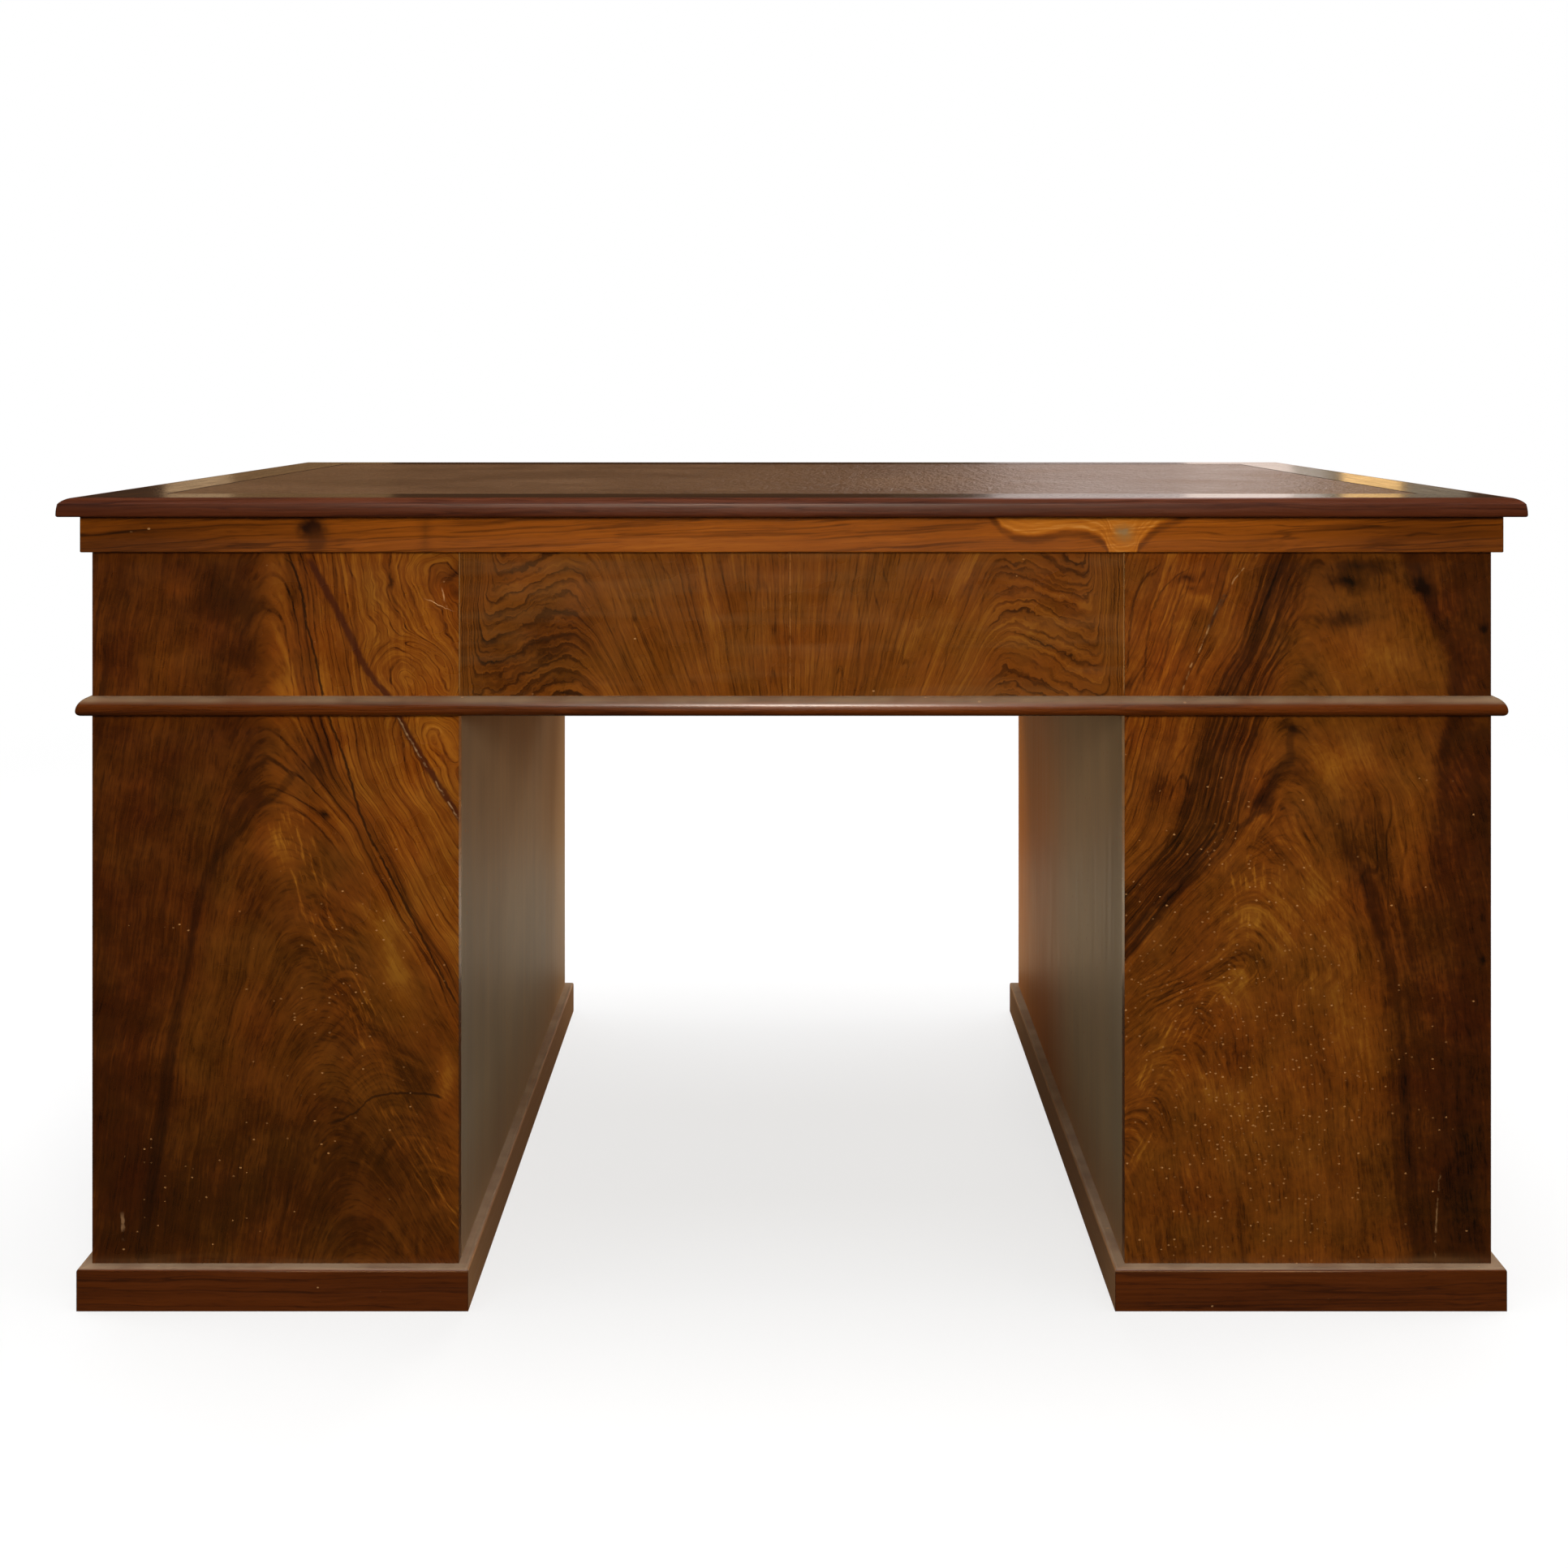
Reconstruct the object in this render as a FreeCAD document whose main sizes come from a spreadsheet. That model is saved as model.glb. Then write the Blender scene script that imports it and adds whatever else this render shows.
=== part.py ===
"""Victorian walnut partners desk: a leather-lined top section with three frieze drawers, standing on
two pedestals of three drawers each.

Millimetres. X runs along the desk, Y across it and Z up. The origin is on the floor under the middle of
the desk. The veneered blind side faces -Y and the drawers open towards +Y.
"""
import FreeCAD, Part
import math
import operator
import os
import Sketcher
from types import SimpleNamespace

# ---------------------------------------------------------------- driving dimensions

driving_sizes = {
    # the whole desk
    "desk_width": 1400,  # over the moulded edge of the top
    "desk_depth": 900,
    "desk_height": 780,
    "waist_height": 570,  # floor to the joint between the pedestals and the top section
    "pedestal_width": 353.5,
    "carcass_inset": 25.5,  # edge of the top to the veneered faces below it
    # the top
    "top_thick": 18,
    "border_width": 78,
    "thumb_run": 11.8,  # thumb moulding: how far it runs in from the edge's face, and how far it falls
    "thumb_fall": 5.5,
    "edge_batter": 1.2,  # lean of the edge's lower face
    "edge_round": 2,
    "leather_thick": 1.2,
    "leather_sink": 0.3,
    # mouldings planted on the carcass
    "band_height": 35,
    "band_thick": 8.5,
    "band_round": 1.2,
    "waist_mould_height": 18,
    "waist_mould_reach": 12,
    "waist_mould_nose": 5,
    "plinth_height": 41,
    "plinth_thick": 11,
    "plinth_round": 3.5,
    # carcass boards
    "board_thick": 18,
    "back_thick": 15,
    "carcass_lift": 4,  # carcass clear of the floor inside the plinth
    "rail_depth": 60,
    "runner_width": 30,
    "frieze_rail_thick": 20,
    "kicker_width": 20,
    "kicker_height": 20,
    "top_drawer_opening": 130,
    "middle_drawer_opening": 150,
    # blocks that locate the top section on the pedestals
    "block_length": 70,
    "block_width": 30,
    "block_height": 24,  # half in the pedestal and half in the frieze
    "block_clearance": 0.2,
    "block_inset": 60,
    # drawers
    "drawer_depth": 700,
    "front_thick": 20,
    "front_gap": 1,
    "lining_thick": 9,
    "lining_drop": 3,  # top of the drawer sides below the opening's top
    "running_gap": 0.3,
    "bottom_thick": 7,
    "bottom_rise": 8,
    "groove_depth": 4,
    "socket_lap": 5,  # wood left in front of the lapped dovetails
    "tail_spacing": 40,
    "pin_tip": 6,
    "tail_slope": 7,  # one in seven
    "stop_width": 40,
    "stop_depth": 20,
    "stop_height": 5,
    "stop_inset": 45,
    # turned bun knobs
    "knob_radius": 19,
    "knob_neck_radius": 9,
    "knob_neck": 10,  # from the drawer to the back of the knob's head
    "knob_head_thick": 13,
    "narrow_knob_spacing": 170,
    "wide_knob_spacing": 380,
}
OVERCUT = 1  # how far a cutting shape runs past the wood it cuts

doc = FreeCAD.newDocument("partners_desk")
sheet = doc.addObject("Spreadsheet::Sheet", "dims")
for row, (alias, millimetres) in enumerate(driving_sizes.items(), start=1):
    sheet.set(f"A{row}", alias)
    sheet.set(f"B{row}", str(millimetres))
    sheet.setAlias(f"B{row}", alias)
doc.recompute()


class Size:
    """A length worked out from the sheet, kept both as a number and as the expression that gives it."""

    arithmetic = {"+": operator.add, "-": operator.sub, "*": operator.mul, "/": operator.truediv, "^": pow}

    def __init__(self, expression, mm):
        self.expression = expression
        self.mm = mm

    def join(self, sign, other, other_first=False):
        first, second = (as_size(other), self) if other_first else (self, as_size(other))
        text = f"({first.expression} {sign} {second.expression})"
        return Size(text, self.arithmetic[sign](first.mm, second.mm))

    def __add__(self, other):
        return self.join("+", other)

    def __sub__(self, other):
        return self.join("-", other)

    def __mul__(self, other):
        return self.join("*", other)

    def __truediv__(self, other):
        return self.join("/", other)

    def __pow__(self, power):
        return self.join("^", power)

    def __radd__(self, other):
        return self.join("+", other, other_first=True)

    def __rsub__(self, other):
        return self.join("-", other, other_first=True)

    def __rmul__(self, other):
        return self.join("*", other, other_first=True)

    def __neg__(self):
        return self * -1


def as_size(value):
    return value if isinstance(value, Size) else Size(f"({value})", value)


dims = SimpleNamespace(**{alias: Size(f"dims.{alias}", value) for alias, value in driving_sizes.items()})

# Planes that several pieces share.
carcass_width = dims.desk_width - 2 * dims.carcass_inset
carcass_depth = dims.desk_depth - 2 * dims.carcass_inset
end_face = carcass_width / 2
front_face = carcass_depth / 2
back_face = -front_face
back_inside = back_face + dims.back_thick
knee_face = end_face - dims.pedestal_width
end_inside = end_face - dims.board_thick
top_underside = dims.desk_height - dims.top_thick
frieze_floor = dims.waist_height + dims.board_thick
frieze_ceiling = top_underside - dims.band_height
bay_floor = dims.plinth_height + dims.board_thick
bay_ceiling = dims.waist_height - dims.board_thick
upper_rail = bay_ceiling - dims.top_drawer_opening - dims.board_thick
lower_rail = upper_rail - dims.middle_drawer_opening - dims.board_thick
pedestal_centre = (end_face + knee_face) / 2
narrow_opening = dims.pedestal_width - 2 * dims.board_thick
wide_opening = 2 * knee_face
pedestals = {"left": -1, "right": 1}


# ---------------------------------------------------------------- ways of making a piece


def bind(piece, prop, value):
    """Ties one property of a piece to the sheet."""
    piece.setExpression(prop, as_size(value).expression)


def place(piece, x, y, z):
    for axis, value in zip("xyz", (x, y, z)):
        bind(piece, f"Placement.Base.{axis}", value)


def board(name, x, y, z):
    """A plain board that fills a (low, high) range on each axis."""
    piece = doc.addObject("Part::Box", name)
    for side, (low, high) in zip(("Length", "Width", "Height"), (x, y, z)):
        bind(piece, side, high - low)
    place(piece, x[0], y[0], z[0])
    return piece


def cut(name, base, *tools):
    """A piece with the shapes of others taken out of it."""
    piece = doc.addObject("Part::Cut", name)
    piece.Base = base
    piece.Tool = tools[0]
    if len(tools) > 1:
        piece.Tool = doc.addObject("Part::MultiFuse", name + "_cutter")
        piece.Tool.Shapes = list(tools)
    return piece


def group(name, *pieces):
    """Separate solids that make one sub-part."""
    together = doc.addObject("Part::Compound", name)
    together.Links = list(pieces)
    return together


def copy_at(name, piece, x=0, y=0, z=0, turn=0):
    """A copy of a piece, turned about Z and moved."""
    copy = group(name, piece)
    copy.Placement.Rotation = FreeCAD.Rotation(FreeCAD.Vector(0, 0, 1), turn)
    place(copy, x, y, z)
    return copy


def tangent_radius(along, aside):
    """Radius of an arc that sets out in one direction and ends this far along it and this far aside."""
    return (along**2 + aside**2) / (2 * aside)


def arc_between(start, end, radius):
    """The short arc from start to end: anticlockwise for a positive radius, clockwise for a negative one."""
    chord = end - start
    rise = abs(radius) - math.sqrt(max(radius**2 - (chord.Length / 2) ** 2, 0))
    right = FreeCAD.Vector(chord.y, -chord.x, 0).normalize()
    return Part.Arc(start, (start + end) / 2 + right * math.copysign(rise, radius), end)


def outline(body, name, plane, *loops):
    """A sketch of closed loops whose every point is tied to the sheet.

    A point is (across, up) where a straight line reaches it, or (across, up, radius) where an arc does.
    """
    sketch = body.newObject("Sketcher::SketchObject", name)
    sketch.AttachmentSupport = (next(f for f in body.Origin.OriginFeatures if f.Role == plane), "")
    sketch.MapMode = "FlatFace"
    for points in loops:
        draw_loop(sketch, [tuple(as_size(value) for value in point) for point in points])
    return sketch


def draw_loop(sketch, points):
    first = sketch.GeometryCount
    spots = [FreeCAD.Vector(across.mm, up.mm, 0) for across, up, *_ in points]
    radii = [point[2] if len(point) == 3 else None for point in points]
    for i, radius in enumerate(radii):
        ends_at = (spots[i - 1], spots[i])
        sketch.addGeometry(arc_between(*ends_at, radius.mm) if radius else Part.LineSegment(*ends_at), False)
    # A sketch keeps every arc anticlockwise, so a clockwise one ends at its first vertex.
    ends = [1 if radius and radius.mm < 0 else 2 for radius in radii]
    for i, (across, up, *_) in enumerate(points):
        before = (i - 1) % len(points)
        sketch.addConstraint(
            Sketcher.Constraint("Coincident", first + before, ends[before], first + i, 3 - ends[i]))
        hold(sketch, "DistanceX", across, first + i, ends[i])
        hold(sketch, "DistanceY", up, first + i, ends[i])
        if radii[i]:
            hold(sketch, "Radius", radii[i] if radii[i].mm > 0 else -radii[i], first + i)


def hold(sketch, kind, size, *where):
    """A dimension in a sketch that follows the sheet."""
    index = sketch.addConstraint(Sketcher.Constraint(kind, *where, size.mm))
    sketch.setExpression(f"Constraints[{index}]", size.expression)


def pad(body, name, sketch, length, side_type="One side"):
    feature = body.newObject("PartDesign::Pad", name)
    feature.Profile = sketch
    feature.SideType = side_type
    bind(feature, "Length", length)


def mitred_length(name, run, reach, width, profile):
    """One side of a mitred frame, along X, with its outer face at Y = -reach and its ends cut at 45."""
    body = doc.addObject("PartDesign::Body", name)
    section = outline(body, name + "_section", "YZ_Plane", profile(-reach))
    pad(body, name + "_stock", section, run, "Symmetric")
    wastes = [
        [
            (sign * (run / 2 + OVERCUT), -reach - OVERCUT),
            (sign * (run / 2 + OVERCUT), -reach + width + OVERCUT),
            (sign * (run / 2 - width - OVERCUT), -reach + width + OVERCUT),
        ]
        for sign in (1, -1)
    ]
    saw = body.newObject("PartDesign::Pocket", name + "_mitres")
    saw.Profile = outline(body, name + "_mitre_lines", "XY_Plane", *wastes)
    saw.Type = "ThroughAll"
    saw.SideType = "Symmetric"
    return body


def mitred_frame(name, width, depth, thick, profile, x=0, z=0):
    """Four mitred lengths round a rectangle. profile(y) is the section of a side whose outer face is at y."""
    front = mitred_length(name + "_long", width, depth / 2, thick, profile)
    side = mitred_length(name + "_short", depth, width / 2, thick, profile)
    turns = ((front, 0), (side, 90), (front, 180), (side, 270))
    return group(name, *(copy_at(f"{name}_{turn}", stock, x, 0, z, turn) for stock, turn in turns))


nodes = []


def sub_part(piece, label=None):
    """Marks a piece as one of the desk's named sub-parts."""
    piece.Label = label or piece.Name
    nodes.append(piece)
    return piece


# ---------------------------------------------------------------- the top


def top_edge_section(face):
    """Thumb moulding above a slightly leaning face, on the edge of the border."""
    shoulder = dims.top_thick - dims.thumb_fall
    face_height = shoulder - dims.edge_round
    return [
        (face + dims.border_width, 0),
        (face + dims.border_width, dims.top_thick),
        (face + dims.edge_batter + dims.thumb_run, dims.top_thick),
        (face + dims.edge_batter, shoulder, tangent_radius(dims.thumb_run, dims.thumb_fall)),
        (face, dims.edge_round, tangent_radius(face_height, dims.edge_batter)),
        (face + dims.edge_round, 0, dims.edge_round),
    ]


def make_top():
    leather_x = dims.desk_width / 2 - dims.border_width
    leather_y = dims.desk_depth / 2 - dims.border_width
    field = ((-leather_x, leather_x), (-leather_y, leather_y))
    leather_top = dims.desk_height - dims.leather_sink
    leather_bed = leather_top - dims.leather_thick
    sub_part(board("top_board", *field, (top_underside, leather_bed)))
    sub_part(board("leather_inset", *field, (leather_bed, leather_top)))
    sub_part(mitred_frame("top_border", dims.desk_width, dims.desk_depth, dims.border_width,
                          top_edge_section, z=top_underside))


# ---------------------------------------------------------------- the frieze


def band_section(face):
    return [
        (face + dims.band_thick, 0),
        (face + dims.band_thick, dims.band_height),
        (face, dims.band_height),
        (face, dims.band_round),
        (face + dims.band_round, 0, dims.band_round),
    ]


def waist_section(face):
    """Flat underneath, a small nose, then one long curve back up to the frieze."""
    climb = dims.waist_mould_height - dims.waist_mould_nose
    return [
        (face + dims.waist_mould_reach, 0),
        (face + dims.waist_mould_reach, dims.waist_mould_height),
        (face, dims.waist_mould_nose, tangent_radius(climb, dims.waist_mould_reach)),
        (face + dims.waist_mould_nose, 0, dims.waist_mould_nose),
    ]


def locating_blocks(name, clearance, z):
    """The blocks that stand on each pedestal near its front and its back, or with clearance their sockets."""
    reach_x = dims.block_length / 2 + clearance
    reach_y = dims.block_width / 2 + clearance
    blocks = []
    for where, sign in pedestals.items():
        x = sign * pedestal_centre
        for side, y in {"back": back_face + dims.block_inset, "front": front_face - dims.block_inset}.items():
            blocks.append(board(f"{name}_{where}_{side}", (x - reach_x, x + reach_x),
                                (y - reach_y, y + reach_y), z))
    return blocks


def make_frieze():
    across = (back_inside, front_face)
    full_height = (dims.waist_height, top_underside)
    panels = {"left": (-end_face, -knee_face), "centre": (-knee_face, knee_face),
              "right": (knee_face, end_face)}
    for where, x in panels.items():
        sub_part(board(f"frieze_back_{where}", x, (back_face, back_inside), full_height))
    for where, x in {"left": (-end_face, -end_inside), "right": (end_inside, end_face)}.items():
        sub_part(board(f"frieze_end_{where}", x, across, full_height))

    # Blocks in the tops of the pedestals stand up into sockets in the frieze's floor.
    block_low = dims.waist_height - dims.block_height / 2
    block_high = dims.waist_height + dims.block_height / 2
    sockets = locating_blocks("socket", dims.block_clearance,
                              (block_low - dims.block_clearance, block_high + dims.block_clearance))
    floor = board("frieze_floor_board", (-end_inside, end_inside), across, (dims.waist_height, frieze_floor))
    sub_part(cut("frieze_base", floor, *sockets))
    sub_part(group("locating_blocks", *locating_blocks("block", as_size(0), (block_low, block_high))))

    rail_back = front_face - dims.frieze_rail_thick
    rail = sub_part(board("frieze_top_rail", (-end_inside, end_inside), (rail_back, front_face),
                          (frieze_ceiling, top_underside)))

    # Partitions stand over the pedestals' inner sides and are notched round the top rail.
    partition_far = knee_face + dims.board_thick
    partitions = []
    for where, x in {"left": (-partition_far, -knee_face), "right": (knee_face, partition_far)}.items():
        blank = board(f"partition_blank_{where}", x, across, (frieze_floor, top_underside))
        partitions.append(cut(f"partition_{where}", blank, rail))
    sub_part(group("frieze_partitions", *partitions))

    # Kickers above the drawer sides stop a drawer from tipping when it is pulled out.
    kickers = []
    bays = ((-end_inside, -partition_far), (-knee_face, knee_face), (partition_far, end_inside))
    for i, (low, high) in enumerate(bays):
        for j, x in enumerate(((low, low + dims.kicker_width), (high - dims.kicker_width, high))):
            kickers.append(board(f"kicker_{i}_{j}", x, (back_inside, rail_back),
                                 (frieze_ceiling, frieze_ceiling + dims.kicker_height)))
    sub_part(group("frieze_kickers", *kickers))

    sub_part(mitred_frame("under_top_band", carcass_width + 2 * dims.band_thick,
                          carcass_depth + 2 * dims.band_thick, dims.band_thick, band_section,
                          z=frieze_ceiling))
    sub_part(mitred_frame("waist_moulding", carcass_width + 2 * dims.waist_mould_reach,
                          carcass_depth + 2 * dims.waist_mould_reach, dims.waist_mould_reach, waist_section,
                          z=dims.waist_height))
    return sockets


# ---------------------------------------------------------------- the pedestals


def plinth_section(face):
    return [
        (face + dims.plinth_thick, 0),
        (face + dims.plinth_thick, dims.plinth_height),
        (face + dims.plinth_round, dims.plinth_height),
        (face, dims.plinth_height - dims.plinth_round, dims.plinth_round),
        (face, 0),
    ]


def make_pedestal(where, sign, sockets):
    centre = sign * pedestal_centre
    low, high = centre - dims.pedestal_width / 2, centre + dims.pedestal_width / 2
    inside = (low + dims.board_thick, high - dims.board_thick)
    across = (back_inside, front_face)
    full_height = (dims.carcass_lift, dims.waist_height)
    low_side, high_side = (low, inside[0]), (inside[1], high)
    outer, inner = (low_side, high_side) if sign < 0 else (high_side, low_side)
    sub_part(board(f"{where}_outer_side", outer, across, full_height))
    sub_part(board(f"{where}_inner_side", inner, across, full_height))
    sub_part(board(f"{where}_back_panel", (low, high), (back_face, back_inside), full_height))

    lid = board(f"{where}_lid_board", inside, across, (bay_ceiling, dims.waist_height))
    sub_part(cut(f"{where}_pedestal_top", lid, *(s for s in sockets if where in s.Name)))
    sub_part(board(f"{where}_pedestal_floor", inside, across, (dims.plinth_height, bay_floor)))

    # A foot rail behind the plinth, and two rails between the drawers with a runner behind each rail's ends.
    rails = [board(f"{where}_foot_rail", inside, (front_face - dims.board_thick, front_face),
                   (dims.carcass_lift, dims.plinth_height))]
    runners = []
    rail_back = front_face - dims.rail_depth
    for level, rail_low in (("upper", upper_rail), ("lower", lower_rail)):
        z = (rail_low, rail_low + dims.board_thick)
        rails.append(board(f"{where}_{level}_rail", inside, (rail_back, front_face), z))
        ends = ((inside[0], inside[0] + dims.runner_width), (inside[1] - dims.runner_width, inside[1]))
        for j, x in enumerate(ends):
            runners.append(board(f"{where}_{level}_runner_{j}", x, (back_inside, rail_back), z))
    sub_part(group(f"{where}_drawer_rails", *rails))
    sub_part(group(f"{where}_drawer_runners", *runners))
    sub_part(mitred_frame(f"{where}_plinth", dims.pedestal_width + 2 * dims.plinth_thick,
                          carcass_depth + 2 * dims.plinth_thick, dims.plinth_thick, plinth_section, x=centre))


# ---------------------------------------------------------------- the drawers


def tail_points(end, root, low, high):
    """Dovetails up the end of a drawer side, from its lowest half pin to its highest."""
    count = max(2, round((high - low).mm / dims.tail_spacing.mm))
    pitch = (high - low) / count
    flare = (root - end if root.mm > end.mm else end - root) / dims.tail_slope
    half_tip = dims.pin_tip / 2
    points = [(root, low)]
    for k in range(count):
        bottom, top = low + k * pitch, low + (k + 1) * pitch
        points += [(root, bottom + half_tip + flare), (end, bottom + half_tip),
                   (end, top - half_tip), (root, top - half_tip - flare)]
    return points + [(root, high)]


def make_drawer_side(kind, low, high, back_low):
    """A drawer side with lapped tails at its front end and through tails at its back end."""
    back_end = -dims.drawer_depth
    front_tails = tail_points(-dims.socket_lap, -dims.front_thick, low, high)
    back_tails = tail_points(back_end, back_end + dims.lining_thick, back_low, high)
    body = doc.addObject("PartDesign::Body", f"{kind}_side")
    shape = outline(body, f"{kind}_side_outline", "YZ_Plane",
                    [*front_tails, *reversed(back_tails), (back_end, back_low), (back_end, low)])
    pad(body, f"{kind}_side_board", shape, dims.lining_thick)
    return body


def make_knob():
    """A turned knob on the Y axis, in front of Y = 0. A screw from inside the drawer holds it."""
    face = dims.knob_neck + dims.knob_head_thick
    section = [
        (0, 0),
        (dims.knob_neck_radius, 0),
        (dims.knob_neck_radius, dims.knob_neck),
        (dims.knob_radius, dims.knob_neck),
        (dims.knob_radius, face),
        (0, face),
    ]
    body = doc.addObject("PartDesign::Body", "turned_knob")
    turning = body.newObject("PartDesign::Revolution", "knob_turning")
    turning.Profile = outline(body, "knob_section", "XY_Plane", section)
    turning.ReferenceAxis = (turning.Profile[0], ["V_Axis"])
    turning.Angle = 360
    return body


def make_drawer(kind, opening_width, opening_height, knob_spacing, knob):
    """The pieces of one size of drawer, about the middle of the opening's lower front edge."""
    half = opening_width / 2 - dims.front_gap
    width = (-half, half)
    side_top = opening_height - dims.lining_drop
    bottom_low = dims.running_gap + dims.bottom_rise
    bottom_high = bottom_low + dims.bottom_thick
    back_end = -dims.drawer_depth

    side = make_drawer_side(kind, dims.running_gap, side_top, bottom_high)
    sides = [copy_at(f"{kind}_side_low", side, -half),
             copy_at(f"{kind}_side_high", side, half - dims.lining_thick)]
    groove = half - dims.lining_thick + dims.groove_depth
    bottom = board(f"{kind}_bottom", (-groove, groove),
                   (back_end, -dims.front_thick + dims.groove_depth), (bottom_low, bottom_high))
    back_blank = board(f"{kind}_back_blank", width, (back_end, back_end + dims.lining_thick),
                       (bottom_high, side_top))
    front_blank = board(f"{kind}_front_blank", width, (-dims.front_thick, as_size(0)),
                        (dims.front_gap, opening_height - dims.front_gap))

    knobs = [copy_at(f"{kind}_knob_{j}", knob, x, 0, opening_height / 2)
             for j, x in enumerate((-knob_spacing / 2, knob_spacing / 2))]
    linings = [cut(f"{kind}_grooved_side_{j}", blank, bottom) for j, blank in enumerate(sides)]
    back = cut(f"{kind}_back", back_blank, *sides)
    return {
        "front": cut(f"{kind}_front", front_blank, *sides, bottom),
        "box": group(f"{kind}_box", *linings, back, bottom),
        "knobs": group(f"{kind}_knobs", *knobs),
    }


def drawer_bays():
    """Each drawer's name, the kind that fills it, its place and its opening's width."""
    bays = [("centre_frieze", "frieze_centre", as_size(0), frieze_floor, wide_opening)]
    rows = {"frieze": frieze_floor, "top": upper_rail + dims.board_thick,
            "middle": lower_rail + dims.board_thick, "bottom": bay_floor}
    for where, sign in pedestals.items():
        x = sign * pedestal_centre
        bays += [(f"{where}_{row}", row, x, low, narrow_opening) for row, low in rows.items()]
    return bays


def make_drawers():
    knob = make_knob()
    frieze_opening = frieze_ceiling - frieze_floor
    heights = {"frieze": frieze_opening, "top": dims.top_drawer_opening, "middle": dims.middle_drawer_opening,
               "bottom": lower_rail - bay_floor}
    kinds = {kind: make_drawer(kind, narrow_opening, height, dims.narrow_knob_spacing, knob)
             for kind, height in heights.items()}
    kinds["frieze_centre"] = make_drawer("frieze_centre", wide_opening, frieze_opening,
                                         dims.wide_knob_spacing, knob)

    # Stops glued behind the drawer fronts hold them flush with the carcass.
    stops = []
    stop_front = front_face - dims.front_thick - dims.running_gap
    for name, kind, x, low, opening in drawer_bays():
        for piece, shape in kinds[kind].items():
            sub_part(copy_at(f"{name}_drawer_{piece}", shape, x, front_face, low))
        outer = opening / 2 - dims.stop_inset
        inner = outer - dims.stop_width
        for side, ends in {"left": (x - outer, x - inner), "right": (x + inner, x + outer)}.items():
            stops.append(board(f"{name}_{side}_stop", ends, (stop_front - dims.stop_depth, stop_front),
                               (low, low + dims.stop_height)))
    sub_part(group("drawer_stops", *stops))


# ---------------------------------------------------------------- build, check and write

make_top()
sockets = make_frieze()
for where, sign in pedestals.items():
    make_pedestal(where, sign, sockets)
make_drawers()
doc.recompute()

failed = [o.Label for o in doc.Objects if {"Invalid", "Error"} & set(o.State)]
failed += [n.Label for n in nodes if n.Shape.isNull() or not n.Shape.isValid() or not n.Shape.Solids]
if failed:
    raise SystemExit(f"these did not build: {failed}")

os.makedirs("parts", exist_ok=True)
for node in nodes:
    node.Shape.exportStep(f"parts/{node.Label}.step")
print(f"{len(nodes)} sub-parts, {sum(len(n.Shape.Solids) for n in nodes)} solids")
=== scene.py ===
import math
import bmesh
import bpy
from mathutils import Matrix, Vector


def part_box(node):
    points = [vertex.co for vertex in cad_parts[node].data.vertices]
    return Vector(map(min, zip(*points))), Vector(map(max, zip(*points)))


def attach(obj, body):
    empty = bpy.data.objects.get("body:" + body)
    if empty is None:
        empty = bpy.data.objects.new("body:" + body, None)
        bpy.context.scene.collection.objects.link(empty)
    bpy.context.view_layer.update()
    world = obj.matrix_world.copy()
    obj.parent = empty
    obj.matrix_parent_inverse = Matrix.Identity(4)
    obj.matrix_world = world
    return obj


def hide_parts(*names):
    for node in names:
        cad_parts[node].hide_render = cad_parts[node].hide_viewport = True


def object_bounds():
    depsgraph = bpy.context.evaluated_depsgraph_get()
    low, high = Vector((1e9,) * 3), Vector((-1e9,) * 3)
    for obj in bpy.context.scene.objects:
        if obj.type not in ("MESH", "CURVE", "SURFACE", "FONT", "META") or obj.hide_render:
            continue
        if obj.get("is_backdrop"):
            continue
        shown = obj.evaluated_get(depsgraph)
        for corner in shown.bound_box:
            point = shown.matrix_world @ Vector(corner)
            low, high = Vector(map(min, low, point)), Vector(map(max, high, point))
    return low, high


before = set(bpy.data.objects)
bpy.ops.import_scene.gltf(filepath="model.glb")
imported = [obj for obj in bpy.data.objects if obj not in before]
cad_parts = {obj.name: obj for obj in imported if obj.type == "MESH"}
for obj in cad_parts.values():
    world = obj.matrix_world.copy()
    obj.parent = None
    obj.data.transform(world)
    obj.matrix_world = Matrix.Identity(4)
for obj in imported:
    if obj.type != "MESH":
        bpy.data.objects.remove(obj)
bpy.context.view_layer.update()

scene = bpy.context.scene


def linear(hexColour):  # sRGB hex to the linear colour that a shader wants
    parts = [int(hexColour[i:i + 2], 16) / 255 for i in (1, 3, 5)]
    return [p / 12.92 if p <= 0.04045 else ((p + 0.055) / 1.055) ** 2.4 for p in parts] + [1]


def addNode(tree, kind, inputs=(), line=None, ramp=None, **settings):  # one node, its settings and its links
    node = tree.nodes.new("ShaderNode" + kind)
    for key, value in settings.items():
        setattr(node, key, value)
    if line:  # points of a Float Curve
        points = node.mapping.curves[0].points
        while len(points) < len(line):
            points.new(0.5, 0.5)
        for point, place in zip(points, line):
            point.location = place
        node.mapping.update()
    if ramp:  # stops of a Color Ramp
        stops = node.color_ramp.elements
        while len(stops) < len(ramp):
            stops.new(0.5)
        for stop, (place, shade) in zip(stops, ramp):
            stop.position = place
            stop.color = linear(shade)
    if isinstance(inputs, dict):
        pairs = [(node.inputs[key], value) for key, value in inputs.items()]
    else:
        pairs = zip([socket for socket in node.inputs if socket.enabled], inputs)
    for socket, value in pairs:
        if isinstance(value, bpy.types.NodeSocket):
            tree.links.new(value, socket)
        elif value is not None:
            socket.default_value = value
    return next((socket for socket in node.outputs if socket.enabled), None)


def placeOf(name):  # mm, from the model: the middle of one piece, and half its size
    low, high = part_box(name)
    middle = [round((a + b) * 500, 2) for a, b in zip(low, high)]
    return middle, [round((b - a) * 500, 2) for a, b in zip(low, high)]


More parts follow.
